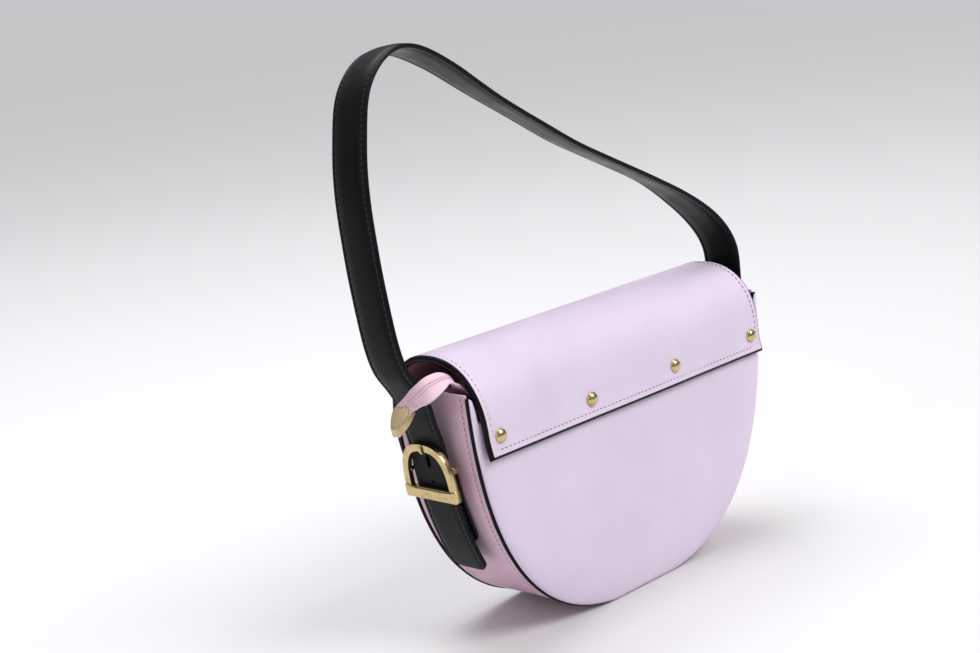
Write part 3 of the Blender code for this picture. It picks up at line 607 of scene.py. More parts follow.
def makeFlap():
    f = flapSettings
    fine = flapPath()
    lengths = runLengths(fine)
    total = lengths[-1]
    nearEdge = f["nearEdge"]
    stations = list(nearEdge)
    while stations[-1] < total - 0.0100:
        stations.append(stations[-1] + f["rowStep"])
    stations += [total - e for e in reversed(nearEdge)]
    columns = list(nearEdge)
    inner = 2.0 * f["halfWidth"] - 2.0 * nearEdge[-1]
    count = f["columns"]
    columns += [nearEdge[-1] + inner * k / count for k in range(1, count)]
    columns += [2.0 * f["halfWidth"] - e for e in reversed(nearEdge)]

    def profileAt(distance):
        k = min(range(len(lengths)), key=lambda i: abs(lengths[i] - distance))
        a = fine[max(0, k - 3)]
        b = fine[min(len(fine) - 1, k + 3)]
        run = (b - a).normalized()
        ahead = (fine[min(len(fine) - 1, k + 1)] - fine[max(0, k - 1)]).normalized()
        spot = fine[k] + ahead * (distance - lengths[k])
        return spot, Vector((-run.y, run.x))

    def sewnAt(distance):
        # 0 on the loose leather and 1 where it is sewn flat to the back
        return smoothStep(total - 0.034, total - 0.024, distance)

    def waveAt(x, distance):
        # the front edge isn't quite straight
        return f["wave"] * math.sin(x * f["waveRate"] + 0.8) * (1.0 - smoothStep(0.0, f["waveRun"], distance))

    def widen(spot):
        # the flap is a little wider over the ridge than at its front edge
        return 1.0 + f["ridgeExtra"] / f["halfWidth"] * smoothStep(f["edgeZ"], f["topZ"] - 0.012, spot.y)

    bm = bmesh.new()
    outerRows = []
    innerRows = []
    for s in stations:
        spot, normal = profileAt(s)
        sewn = sewnAt(s)
        thick = lerp(f["thick"], f["seamThick"], sewn)
        lift = f["proud"] * (1.0 - sewn)
        outerRow = []
        innerRow = []
        for c in columns:
            side = min(c, 2.0 * f["halfWidth"] - c)
            edge = min(side, s, total - s)
            radius = thick / 2.0
            swell = radius
            if edge < radius:
                swell = radius * math.sqrt(max(0.0, 1.0 - (1.0 - edge / radius) ** 2))
            x = c - f["halfWidth"]
            wave = waveAt(x, s)
            wave += 0.00025 * noise.noise(Vector((x * 18.0, s * 30.0, 1.7))) * (1.0 - sewn)
            wave = max(-0.0003, wave)
            groove = 0.0
            for line in (side, s, total - s):
                groove += f["groove"] * max(0.0, 1.0 - abs(line - f["stitch"]) / f["grooveHalf"])
            groove = min(groove, f["groove"]) if swell >= radius * 0.999 else 0.0
            outer = spot + normal * (lift + wave - radius + swell - groove)
            lower = spot + normal * (lift + wave - radius - swell)
            outerRow.append(((x * widen(spot), outer.x, outer.y), edge))
            innerRow.append(((x * widen(spot), lower.x, lower.y), edge))
        outerRows.append(outerRow)
        innerRows.append(innerRow)
    lastRow = len(stations) - 1
    lastColumn = len(columns) - 1
    outerVerts = []
    innerVerts = []
    for i in range(lastRow + 1):
        outerVerts.append([bm.verts.new(outerRows[i][k][0]) for k in range(lastColumn + 1)])
        row = []
        for k in range(lastColumn + 1):
            onBorder = i in (0, lastRow) or k in (0, lastColumn)
            row.append(outerVerts[i][k] if onBorder else bm.verts.new(innerRows[i][k][0]))
        innerVerts.append(row)
    for i in range(lastRow):
        for k in range(lastColumn):
            edge = (outerRows[i][k][1] + outerRows[i + 1][k + 1][1]) / 2.0
            painted = edge < f["paint"] and stations[i] < total - 0.030
            row, nextRow = outerVerts[i], outerVerts[i + 1]
            outside = bm.faces.new((row[k], row[k + 1], nextRow[k + 1], nextRow[k]))
            outside.material_index = 1 if painted else 0
            row, nextRow = innerVerts[i], innerVerts[i + 1]
            inside = bm.faces.new((row[k], nextRow[k], nextRow[k + 1], row[k + 1]))
            inside.material_index = 1 if edge < f["paint"] + 0.0006 else 2
    # seams of stitches: both sides, the front edge and the sewn edge
    inset = f["stitch"]
    for x in (-f["halfWidth"] + inset, f["halfWidth"] - inset):
        path = []
        ups = []
        for s in stations:
            if s < inset or s > total - inset:
                continue
            spot, normal = profileAt(s)
            wide = x * widen(spot)
            spot = spot + normal * (f["proud"] * (1.0 - sewnAt(s)) - f["groove"])
            path.append(Vector((wide, spot.x, spot.y)))
            ups.append(Vector((0.0, normal.x, normal.y)))
        addStitches(bm, path, ups, 3)
    for s in (inset, total - inset):
        spot, normal = profileAt(s)
        sewn = 1.0 if s > total / 2.0 else 0.0
        path = []
        ups = []
        for k in range(61):
            x = lerp(-f["halfWidth"] + inset + 0.003, f["halfWidth"] - inset - 0.003, k / 60)
            wave = max(-0.0003, waveAt(x, s))
            at = spot + normal * (f["proud"] * (1.0 - sewn) + wave - f["groove"])
            path.append(Vector((x, at.x, at.y)))
            ups.append(Vector((0.0, normal.x, normal.y)))
        addStitches(bm, path, ups, 3)
    flap = newObject("flapLeather", bm, [lilacLeather, blackEdge, liningLeather, pinkThread])
    smoothShade(flap, 60.0)
    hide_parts("flap_front_outer", "flap_front_core", "flap_front_lining",
                "flap_back_outer", "flap_back_core", "flap_back_lining")
    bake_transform(flap)


makeFlap()
print("flap made")


# dome studs: the CAD gives their places
studSettings = {"radius": 0.0040, "flatten": 0.66, "segments": 40, "skirt": 0.0004, "shankInset": 0.0033,
                "shank": 0.0036}


def makeStud(number):
    low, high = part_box("stud_%d" % number)
    x = (low[0] + high[0]) / 2.0
    z = (low[2] + high[2]) / 2.0
    face = flapSettings["frontY"] - flapSettings["proud"] - 0.0002  # the leather's surface
    clearSelection()
    bpy.ops.mesh.primitive_uv_sphere_add(segments=studSettings["segments"], ring_count=24,
                                         radius=studSettings["radius"], location=(x, face, z),
                                         rotation=(math.pi / 2.0, 0.0, 0.0))
    stud = bpy.context.active_object
    stud.name = "domeStud%d" % number
    applyPlace()
    editMode()
    selectAll()
    bpy.ops.transform.resize(value=(1.0, studSettings["flatten"], 1.0), center_override=(x, face, z))
    bpy.ops.mesh.bisect(plane_co=(x, face, z), plane_no=(0.0, 1.0, 0.0), use_fill=True, clear_outer=True)
    bpy.ops.mesh.select_all(action="DESELECT")
    objectMode()
    for polygon in stud.data.polygons:
        polygon.select = polygon.normal.y > 0.99
    editMode()
    bpy.ops.mesh.select_mode(type="FACE")
    extrude(0.0, studSettings["skirt"], 0.0)
    bpy.ops.mesh.inset(thickness=studSettings["shankInset"])
    extrude(0.0, studSettings["shank"], 0.0)
    objectMode()
    stud.data.materials.append(goldMetal)
    smoothShade(stud, 50.0)
    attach(stud, "flap")
    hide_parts("stud_%d" % number)


for number in range(1, 5):
    makeStud(number)
print("studs made")


# strap: one length of leather from tail to tail; the arch is (x, height above the pivot)
strapSettings = {
    "pivotZ": 0.140, "lean": math.radians(8.0), "leanRun": 0.010, "offset": 0.0068, "halfWidth": 0.0130,
    "tailZ": 0.046, "spacing": 0.0022, "padding": 0.0009, "twist": math.radians(13.5), "buckleWidth": 0.0004,
    "leave": 0.0046, "stitchShare": 0.795,
    "arch": [(-0.1364, 0.000), (-0.1412, 0.0095), (-0.1478, 0.0215), (-0.1506, 0.0370), (-0.1508, 0.0600),
             (-0.1500, 0.0870), (-0.1475, 0.1140), (-0.1425, 0.1370), (-0.1330, 0.1630), (-0.1160, 0.1785),
             (-0.0960, 0.1810), (-0.0700, 0.1690), (-0.0350, 0.1445), (0.0150, 0.1135), (0.0640, 0.0880),
             (0.0980, 0.0680), (0.1220, 0.0480), (0.1335, 0.0290), (0.1325, 0.0080), (0.1318, 0.000)],
}


def sideSpot(side, z, out):
    slope = (sideX(z + 0.001) - sideX(z - 0.001)) / 0.002
    normal = Vector((1.0, -slope)).normalized()
    return Vector((side * (sideX(z) + normal.x * out), 0.0, z + normal.y * out))


def strapPath():
    st = strapSettings
    points = []
    steps = 40
    for i in range(steps):
        z = lerp(st["tailZ"], st["pivotZ"] - 0.004, i / steps)
        # the left end swings out as soon as it leaves the buckle
        leave = st["leave"] * smoothStep(0.114, st["pivotZ"], z)
        points.append(sideSpot(-1.0, z, st["offset"]) + Vector((-leave, 0.0, 0.0)))
    for flat in catmull(st["arch"], 12):
        v = flat.y
        back = math.sin(st["lean"]) * (v - st["leanRun"] * (1.0 - math.exp(-v / st["leanRun"])))
        rise = st["pivotZ"] + v * math.cos(st["lean"])
        points.append(Vector((flat.x, back, rise)))
    for i in reversed(range(steps)):
        z = lerp(st["tailZ"], st["pivotZ"] - 0.004, i / steps)
        points.append(sideSpot(1.0, z, st["offset"]))
    return resample(points, st["spacing"])


def strapSection(pad):
    # (across, height) round the strap: outer face first, then the inner face
    flat = 0.0014
    half = [(1.0, 0.0), (0.985, 0.0008), (0.93, 0.00125), (0.84, 0.0013), (0.795, 0.0009), (0.75, 0.0013),
            (0.62, flat + 0.5 * pad), (0.40, flat + 0.85 * pad), (0.20, flat + 0.97 * pad)]
    outer = [(-a, h) for a, h in half] + [(0.0, flat + pad)] + [(a, h) for a, h in reversed(half)]
    under = [(0.985, -0.0008), (0.93, -0.00125), (0.84, -0.0014), (0.795, -0.0011), (0.75, -0.0014),
             (0.35, -0.0015)]
    lower = under + [(0.0, -0.0015)] + [(-a, h) for a, h in reversed(under)]
    return outer + lower


def makeStrap():
    st = strapSettings
    path = strapPath()
    last = len(path) - 1
    bm = bmesh.new()
    rings = []
    edges = {-1.0: ([], []), 1.0: ([], [])}
    for i, point in enumerate(path):
        run = (path[min(last, i + 1)] - path[max(0, i - 1)]).normalized()
        v = max(0.0, point.z - st["pivotZ"])
        tilt = st["lean"] * (1.0 - math.exp(-v / st["leanRun"]))
        across = Vector((0.0, math.cos(tilt), -math.sin(tilt)))
        out = across.cross(run).normalized()
        if out.dot(Vector((point.x, 0.0, point.z - 0.16))) < 0.0:
            out = -out
        across = run.cross(out).normalized()
        if across.y < 0.0:
            across = -across
        turn = smoothStep(-0.112, -0.020, point.x) * (1.0 - smoothStep(0.075, 0.128, point.x))
        turn *= st["twist"] * smoothStep(st["pivotZ"], st["pivotZ"] + 0.03, point.z)
        across, out = (across * math.cos(turn) + out * math.sin(turn),
                       out * math.cos(turn) - across * math.sin(turn))
        tail = min(i, last - i) * st["spacing"]
        half = st["halfWidth"] - 0.0035 * max(0.0, 1.0 - tail / 0.006) ** 2.2
        half += st["buckleWidth"] * (1.0 - smoothStep(0.110, 0.150, point.z))
        pad = st["padding"] * smoothStep(st["pivotZ"], st["pivotZ"] + 0.020, point.z)
        soft = 0.0005 * noise.noise(point * 26.0)
        ring = [point + across * (a * half) + out * (h + soft) for a, h in strapSection(pad)]
        rings.append(ring)
        if 2 < i < last - 2:
            for sign in (-1.0, 1.0):
                line, ups = edges[sign]
                line.append(point + across * (sign * st["stitchShare"] * half) + out * (0.0009 + soft))
                ups.append(out)
    loft(bm, rings)
    strap = newObject("strapLeather", bm, [blackLeather, blackThread])
    cutStrapHoles(strap)
    bm = bmesh.new()
    bm.from_mesh(strap.data)
    bmesh.ops.recalc_face_normals(bm, faces=bm.faces)
    for line, ups in edges.values():
        addStitches(bm, line, ups, 1)
    bm.to_mesh(strap.data)
    bm.free()
    smoothShade(strap, 50.0)
    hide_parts("strap", "strap_end_left", "strap_end_right")
    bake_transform(strap)


# side hardware, in axes that follow the side of the bag
hardware = {
    "barZ": 0.1035, "barOut": 0.0033, "barRadius": 0.0012, "halfWidth": 0.0183, "rise": 0.0168,
    "drop": 0.0150, "wire": 0.0040, "footHeight": 0.0062, "frameOut": 0.0084, "frameThick": 0.0030,
    "squareness": 0.76, "lug": (0.0008, 0.0026, 0.0076), "lugAcross": 0.0141, "lugOut": 0.0056,
    "barLength": 0.0284,
}


def sideAxes(side):
    z = hardware["barZ"]
    slope = (sideX(z + 0.001) - sideX(z - 0.001)) / 0.002
    out = Vector((side, 0.0, -slope)).normalized()
    up = Vector((side * slope, 0.0, 1.0)).normalized()
    return Vector((side * sideX(z), 0.0, z)), up, out


def cutStrapHoles(strap):
    # an oblong slot for the tongue and one spare hole on each side
    for side in (-1.0, 1.0):
        origin, up, out = sideAxes(side)
        turn = Matrix((up, Vector((0.0, 1.0, 0.0)), out)).transposed().to_4x4()
        for along, length, radius in ((0.0056, 0.0068, 0.0015), (-0.0062, 0.0020, 0.0010)):
            bm = bmesh.new()
            outlineSpots = []
            reach = max(0.0, length / 2.0 - radius)
            for k in range(24):
                angle = 2.0 * math.pi * k / 24.0
                shift = reach if math.cos(angle) > 0.0 else -reach
                outlineSpots.append((radius * math.cos(angle) + shift, radius * math.sin(angle)))
            place = Matrix.Translation(origin + out * 0.0068 + up * along) @ turn
            rings = [[place @ Vector((u, w, h)) for u, w in outlineSpots] for h in (-0.006, 0.006)]
            loft(bm, rings)
            cutter = newObject("holeCutter", bm, [])
            makeActive(strap)
            cut = strap.modifiers.new("hole", "BOOLEAN")
            cut.operation = "DIFFERENCE"
            cut.solver = "EXACT"
            cut.object = cutter
            bpy.ops.object.modifier_apply(modifier=cut.name)
            bpy.data.objects.remove(cutter)


makeStrap()
print("strap made")

# side tab: a short strip that holds the buckle
tabSettings = {
    "low": 0.060, "high": 0.0995, "out": 0.0013, "halfWidth": 0.0120, "halfThick": 0.0010,
    "section": [(-1.0, 0.0), (-0.97, 0.7), (-0.9, 1.0), (-0.5, 1.0), (0.0, 1.0), (0.5, 1.0), (0.9, 1.0),
                (0.97, 0.7), (1.0, 0.0), (0.97, -0.7), (0.9, -0.9), (0.0, -0.9), (-0.9, -0.9), (-0.97, -0.7)],
}


def makeTab(tag, side):
    t = tabSettings
    bm = bmesh.new()
    rings = []
    steps = 36
    edges = {-1.0: ([], []), 1.0: ([], [])}
    for i in range(steps + 1):
        z = lerp(t["low"], t["high"], i / steps)
        point = sideSpot(side, z, t["out"])
        ahead = sideSpot(side, z + 0.001, t["out"])
        run = (ahead - point).normalized()
        across = Vector((0.0, 1.0, 0.0))
        out = Vector((run.z * side, 0.0, -run.x * side)).normalized()
        tail = z - t["low"]
        half = t["halfWidth"] - 0.003 * max(0.0, 1.0 - tail / 0.005) ** 2.2
        ring = []
        for a, h in t["section"]:
            ring.append(point + across * (a * half) + out * (h * t["halfThick"]))
        rings.append(ring)
        if 1 < i < steps - 4:
            for sign in (-1.0, 1.0):
                edges[sign][0].append(point + across * (sign * (half - 0.0026)) + out * t["halfThick"])
                edges[sign][1].append(out)
    loft(bm, rings)
    for line, ups in edges.values():
        addStitches(bm, line, ups, 1)
    tab = newObject("sideTab" + tag.capitalize(), bm, [blackLeather, blackThread])
    smoothShade(tab, 50.0)
    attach(tab, "bag")
    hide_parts("side_tab_" + tag)


def sidePlace(side):
    # local x runs across the strap, local y up the side and local z outwards
    origin, up, out = sideAxes(side)
    across = up.cross(out)
    return Matrix.Translation(origin) @ Matrix((across, up, out)).transposed().to_4x4()


def finishPart(part, place, width, segments, degrees=50.0):
    makeActive(part)
    edge = part.modifiers.new("edges", "BEVEL")
    edge.width = width
    edge.segments = segments
    edge.limit_method = "ANGLE"
    edge.angle_limit = math.radians(25.0)
    bpy.ops.object.modifier_apply(modifier=edge.name)
    part.matrix_world = place @ part.matrix_world
    applyPlace()
    editMode()
    selectAll()
    bpy.ops.mesh.normals_make_consistent(inside=False)
    objectMode()
    smoothShade(part, degrees)


def joinParts(name, parts, mat):
    clearSelection()
    for part in parts:
        part.select_set(True)
    bpy.context.view_layer.objects.active = parts[0]
    if len(parts) > 1:
        bpy.ops.object.join()
    joined = bpy.context.active_object
    joined.name = name
    joined.data.name = name
    joined.data.materials.clear()
    joined.data.materials.append(mat)
    return joined


def addBlock(size, at):
    clearSelection()
    bpy.ops.mesh.primitive_cube_add(size=1.0, location=at)
    block = bpy.context.active_object
    block.scale = size
    applyPlace()
    return block


def selectPoints(part, test):
    # runs in object mode and leaves only the points that pass selected
    editMode()
    bpy.ops.mesh.select_mode(type="VERT")
    bpy.ops.mesh.select_all(action="DESELECT")
    objectMode()
    for vertex in part.data.vertices:
        vertex.select = test(vertex.co)
    editMode()


def makeFrameArch():
    # half an ellipse on a straight foot, hollowed, thickened and rounded
    h = hardware
    clearSelection()
    bpy.ops.mesh.primitive_circle_add(vertices=72, radius=1.0, fill_type="NGON")
    arch = bpy.context.active_object
    foot = -h["drop"] + h["footHeight"]
    editMode()
    selectAll()
    bpy.ops.mesh.bisect(plane_co=(0.0, 0.0, 0.0), plane_no=(0.0, 1.0, 0.0), clear_inner=True)
    objectMode()
    for vertex in arch.data.vertices:
        vertex.co.x = math.copysign(abs(vertex.co.x) ** h["squareness"], vertex.co.x) * h["halfWidth"]
        vertex.co.y = max(0.0, vertex.co.y) ** h["squareness"] * (h["rise"] - foot)
    selectPoints(arch, lambda co: abs(co.y) < 1e-6)
    bpy.ops.mesh.select_mode(type="EDGE")
    extrude(0.0, -h["footHeight"], 0.0)
    selectAll()
    bpy.ops.mesh.dissolve_limited(angle_limit=0.001)
    selectAll()
    bpy.ops.mesh.select_mode(type="FACE")
    bpy.ops.mesh.inset(thickness=h["wire"], use_boundary=True)
    bpy.ops.mesh.delete(type="FACE")
    objectMode()
    lowest = -h["footHeight"] + h["wire"]
    reach = h["halfWidth"] - h["wire"] + 0.0004
    selectPoints(arch, lambda co: abs(co.y - lowest) < 0.0004 and abs(co.x) < reach)
    slide(0.0, h["footHeight"] - h["wire"], 0.0)
    selectAll()
    slide(0.0, foot, h["frameOut"])
    extrude(0.0, 0.0, h["frameThick"])
    objectMode()
    return arch


def makeBuckle(tag, side):
    h = hardware
    place = sidePlace(side)
    arch = makeFrameArch()
    finishPart(arch, place, 0.0011, 5)
    # a heavy foot plate stands proud of the arch
    tall = h["footHeight"] - 0.0004
    plate = addBlock((2.0 * h["halfWidth"] + 0.0004, tall, 0.0044),
                     (0.0, -h["drop"] + tall / 2.0, h["frameOut"] + 0.0018))
    editMode()
    for x in (-0.0150, -0.0100, 0.0, 0.0100, 0.0150):
        selectAll()
        bpy.ops.mesh.bisect(plane_co=(x, 0.0, 0.0), plane_no=(1.0, 0.0, 0.0))
    objectMode()
    top = -h["drop"] + tall
    # its ends rise a little beside the arch
    selectPoints(plate, lambda co: co.y > top - 1e-5 and abs(co.x) > h["halfWidth"] - 0.001)
    slide(0.0, 0.0012, 0.0)
    objectMode()
    selectPoints(plate, lambda co: co.y > top - 1e-5 and 0.0140 < abs(co.x) < 0.0160)
    slide(0.0, 0.0003, 0.0)
    objectMode()
    finishPart(plate, place, 0.0005, 3)
    parts = [arch, plate]
    for sign in (-1.0, 1.0):
        lug = addBlock(h["lug"], (sign * h["lugAcross"], 0.0, h["lugOut"]))
        finishPart(lug, place, 0.0005, 3)
        parts.append(lug)
    buckle = joinParts("buckleFrame" + tag.capitalize(), parts, goldMetal)
    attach(buckle, "bag")
    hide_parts("buckle_" + tag)
    clearSelection()
    bpy.ops.mesh.primitive_cylinder_add(vertices=32, radius=h["barRadius"], depth=h["barLength"],
                                        rotation=(0.0, math.pi / 2.0, 0.0), location=(0.0, 0.0, h["barOut"]))
    bar = bpy.context.active_object
    applyPlace()
    finishPart(bar, place, 0.0003, 2)
    bar = joinParts("heelBar" + tag.capitalize(), [bar], goldMetal)
    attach(bar, "bag")
    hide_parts("heel_bar_" + tag)


tongueSettings = {
    "width": 0.0023, "thick": 0.0012, "eye": 0.00178, "eyeWire": 0.00030,
    "steps": [(0.0026, 0.0004), (0.0022, 0.0012), (0.0018, 0.0028), (0.0014, 0.0026), (0.0014, 0.0018),
              (0.0026, 0.0004), (0.0022, -0.0002)],
}


def makeTongue(tag, side):
    # a flat blade grows from the eye on the heel bar, through the strap and over the frame
    h = hardware
    t = tongueSettings
    place = sidePlace(side)
    clearSelection()
    bpy.ops.mesh.primitive_torus_add(major_radius=t["eye"], minor_radius=t["eyeWire"], major_segments=32,
                                     minor_segments=12, rotation=(0.0, math.pi / 2.0, 0.0),
                                     location=(0.0, 0.0, h["barOut"]))
    eye = bpy.context.active_object
    editMode()
    selectAll()
    bpy.ops.transform.resize(value=(3.2, 1.0, 1.0), center_override=(0.0, 0.0, h["barOut"]))
    objectMode()
    applyPlace()
    blade = addBlock((t["width"], 0.0010, t["thick"]), (0.0, t["eye"] + 0.0003, h["barOut"]))
    front = t["eye"] + 0.0008
    selectPoints(blade, lambda co: co.y > front - 1e-5)
    bpy.ops.mesh.select_mode(type="FACE")
    for along, rise in t["steps"]:
        extrude(0.0, along, rise)
    bpy.ops.transform.resize(value=(0.62, 1.0, 0.62))
    objectMode()
    makeActive(blade)
    soften = blade.modifiers.new("soften", "SUBSURF")
    soften.levels = 2
    soften.render_levels = 2
    bpy.ops.object.modifier_apply(modifier=soften.name)
    finishPart(eye, place, 0.0001, 1)
    finishPart(blade, place, 0.0001, 1)
    tongue = joinParts("buckleTongue" + tag.capitalize(), [blade, eye], goldMetal)
    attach(tongue, "tongue_" + tag)
    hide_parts("prong_" + tag)


for sideTag, sideSign in (("left", -1.0), ("right", 1.0)):
    makeTab(sideTag, sideSign)
    makeBuckle(sideTag, sideSign)
    makeTongue(sideTag, sideSign)
print("side hardware made")


# zip: tail, end cap, tapes, coils
tailSettings = {
    # middle line of the tape, with the direction from its far edge to its near edge
    "route": [
        ((-0.1508, -0.0058, 0.1392), (0.12, -0.98, 0.02)),
        ((-0.1494, -0.0060, 0.1412), (0.05, -0.99, -0.02)),
        ((-0.1486, -0.0090, 0.1434), (-0.03, -0.99, -0.10)),
        ((-0.1481, -0.0120, 0.1458), (-0.06, -0.98, -0.17)),
        ((-0.1468, -0.0180, 0.1505), (-0.14, -0.83, -0.54)),
        ((-0.1425, -0.0212, 0.1538), (-0.22, -0.73, -0.65)),
        ((-0.1342, -0.0205, 0.1547), (-0.42, -0.80, -0.42)),
        ((-0.1262, -0.0180, 0.1530), (-0.60, -0.79, -0.05)),
        ((-0.1180, -0.0135, 0.1470), (-0.36, -0.93, 0.05)),
        ((-0.1120, -0.0108, 0.1420), (-0.12, -0.99, 0.02)),
        ((-0.1066, -0.0090, 0.1393), (-0.02, -1.00, 0.01)),
    ],
    "halfWidth": 0.0070, "coil": -0.16,
}


def makeZipTail():
    t = tailSettings
    middle = catmull([p for p, a in t["route"]], 12)
    sides = catmull([a for p, a in t["route"]], 12)
    half = t["halfWidth"]
    # (across, height): the edge, the folded coil as two ridges, then the other edge and the back
    ridge = [(0.0, 0.0004), (0.02, 0.0010), (0.06, 0.0016), (0.14, 0.0016), (0.185, 0.0010), (0.21, 0.0004),
             (0.235, 0.0008)]
    ridge = [(-a, h) for a, h in reversed(ridge[1:])] + ridge
    section = [(-1.0, 0.0), (-0.985, 0.0004), (-0.93, 0.00065), (-0.86, 0.0005), (-0.62, 0.0006)]
    section += [(t["coil"] + a, h) for a, h in ridge]
    section += [(0.35, 0.0007), (0.62, 0.0006), (0.86, 0.0005), (0.93, 0.00065), (0.985, 0.0004), (1.0, 0.0)]
    section += [(0.93, -0.0005), (0.62, -0.0005), (0.30, -0.0005), (0.0, -0.0005), (-0.30, -0.0005),
                (-0.62, -0.0005), (-0.93, -0.0005)]
    bm = bmesh.new()
    rings = []
    last = len(middle) - 1
    for i, point in enumerate(middle):
        run = (middle[min(last, i + 1)] - middle[max(0, i - 1)]).normalized()
        side = sides[i].normalized()
        normal = side.cross(run).normalized()
        share = i / last
        inCap = 1.0 - smoothStep(0.06, 0.20, share)
        inBag = smoothStep(0.86, 1.0, share)
        wide = half * (1.0 - 0.16 * inCap)
        ring = []
        for a, h in section:
            cup = 0.0011 * math.sin(share * 9.0 + 0.6) * (a * a - 0.3) * (1.0 - inCap) * (1.0 - inBag)
            crease = 0.00035 * noise.noise(Vector((share * 14.0, a * 1.6, 4.0))) * (1.0 - inCap)
            ring.append(point + side * (a * wide) + normal * (h + cup + crease))
        rings.append(ring)
    loft(bm, rings)
    tail = newObject("zipTailTape", bm, [tapeCloth])
    smoothShade(tail, 60.0)
    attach(tail, "bag")
    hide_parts("zip_tail")


capSettings = {
    "at": (-0.1492, -0.0057, 0.1412), "across": (0.198, -0.980, 0.021), "down": (-0.696, -0.156, -0.701),
    "halfWidth": 0.0068, "length": 0.0158, "thick": 0.0052, "top": 0.0012,
    # along the cap: place from the top and share of the half width
    "rows": [(0.0050, 0.97), (0.0090, 0.84), (0.0125, 0.64)], "foot": 0.36,
    "faceScale": 0.70, "rim": 0.0006, "sink": 0.00025,
}


def makeEndCap():
    c = capSettings
    across = Vector(c["across"]).normalized()
    down = Vector(c["down"]).normalized()
    out = across.cross(-down).normalized()
    across = (-down).cross(out).normalized()
    place = Matrix.Translation(Vector(c["at"])) @ Matrix((across, -down, out)).transposed().to_4x4()
    cap = addBlock((2.0 * c["halfWidth"], c["length"], c["thick"]), (0.0, -c["length"] / 2.0 + c["top"], 0.0))
    top = c["top"]
    editMode()
    for along, share in c["rows"]:
        selectAll()
        bpy.ops.mesh.bisect(plane_co=(0.0, top - along, 0.0), plane_no=(0.0, 1.0, 0.0))
    objectMode()
    for along, share in c["rows"] + [(c["length"], c["foot"])]:
        level = top - along
        selectPoints(cap, lambda co: abs(co.y - level) < 1e-5)
        bpy.ops.transform.resize(value=(share, 1.0, 1.0), center_override=(0.0, level, 0.0))
        objectMode()
    # the face is smaller than the back, so its walls slope
    selectPoints(cap, lambda co: co.z > c["thick"] / 2.0 - 1e-5)
    bpy.ops.transform.resize(value=(c["faceScale"], 0.84, 1.0), center_override=(0.0, top - 0.0010, 0.0))
    objectMode()
    finishPart(cap, Matrix.Identity(4), 0.0008, 4)
    for face in cap.data.polygons:
        face.select = face.normal.z > 0.999
    editMode()
    bpy.ops.mesh.select_mode(type="FACE")
    bpy.ops.mesh.inset(thickness=c["rim"], depth=0.0)
    bpy.ops.mesh.inset(thickness=0.00025, depth=-c["sink"])
    objectMode()
    cap = joinParts("zipEndCap", [cap], goldMetal)
    cap.data.materials.append(goldSatin)
    for face in cap.data.polygons:
        face.material_index = 1 if face.select else 0
    makeActive(cap)
    cap.matrix_world = place
    applyPlace()
    smoothShade(cap, 35.0)
    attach(cap, "bag")
    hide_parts("zip_end_cap")


# the tapes lie where the CAD has them; their section is (share of the width, height)
tapeSettings = {
    "section": [(0.0, 0.0), (0.03, 0.0003), (0.12, 0.00035), (0.5, 0.0003), (0.92, 0.0003), (1.0, 0.0),
                (0.92, -0.0003), (0.5, -0.0003), (0.12, -0.0003), (0.03, -0.0003)],
    "sag": 0.0006, "turnDown": 0.0020,
}
coilSettings = {"pitch": 0.0013, "near": 0.0006, "far": 0.0022, "wide": 0.00048, "tall": 0.00085}


def makeTape(tag, sign):
    low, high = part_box("zip_tape_" + tag)
    inner = min(abs(low[1]), abs(high[1]))
    outer = max(abs(low[1]), abs(high[1]))
    z = (low[2] + high[2]) / 2.0
    bm = bmesh.new()
    rings = []
    steps = 60
    for i in range(steps + 1):
        x = lerp(low[0], high[0], i / steps)
        sag = -tapeSettings["sag"] * math.sin(math.pi * i / steps)
        ring = []
        for share, h in tapeSettings["section"]:
            lift = sag * math.sin(math.pi * share) - tapeSettings["turnDown"] * smoothStep(0.72, 1.0, share)
            ring.append((x, sign * lerp(inner, outer, share), z + h + lift))
        rings.append(ring)
    loft(bm, rings)
    tape = newObject("zipTape" + tag.capitalize(), bm, [tapeCloth])
    smoothShade(tape, 50.0)
    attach(tape, "bag")
    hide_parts("zip_tape_" + tag)
    makeCoil(tag, sign, z)


def makeCoil(tag, sign, z):
    # small loops of nylon side by side along the tape's edge
    low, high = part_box("zip_coil_" + tag)
    c = coilSettings
    bm = bmesh.new()
    for i in range(int((high[0] - low[0]) / c["pitch"])):
        x = low[0] + c["pitch"] * (i + 0.5 + (0.25 if sign > 0.0 else -0.25))
        rings = []
        for share, size in ((0.0, 0.5), (0.08, 0.9), (0.35, 1.0), (0.8, 0.9), (1.0, 0.5)):
            ring = []
            for k in range(6):
                angle = 2.0 * math.pi * k / 6.0
                ring.append((x + c["wide"] * size * math.cos(angle), sign * lerp(c["near"], c["far"], share),
                             z + c["tall"] * size * math.sin(angle)))
            rings.append(ring)
        loft(bm, rings)
    coil = newObject("zipCoil" + tag.capitalize(), bm, [coilPlastic])
    smoothShade(coil, 50.0)
    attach(coil, "bag")
    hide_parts("zip_coil_" + tag)


makeZipTail()
makeEndCap()
makeTape("front", -1.0)
makeTape("back", 1.0)
print("zip made")


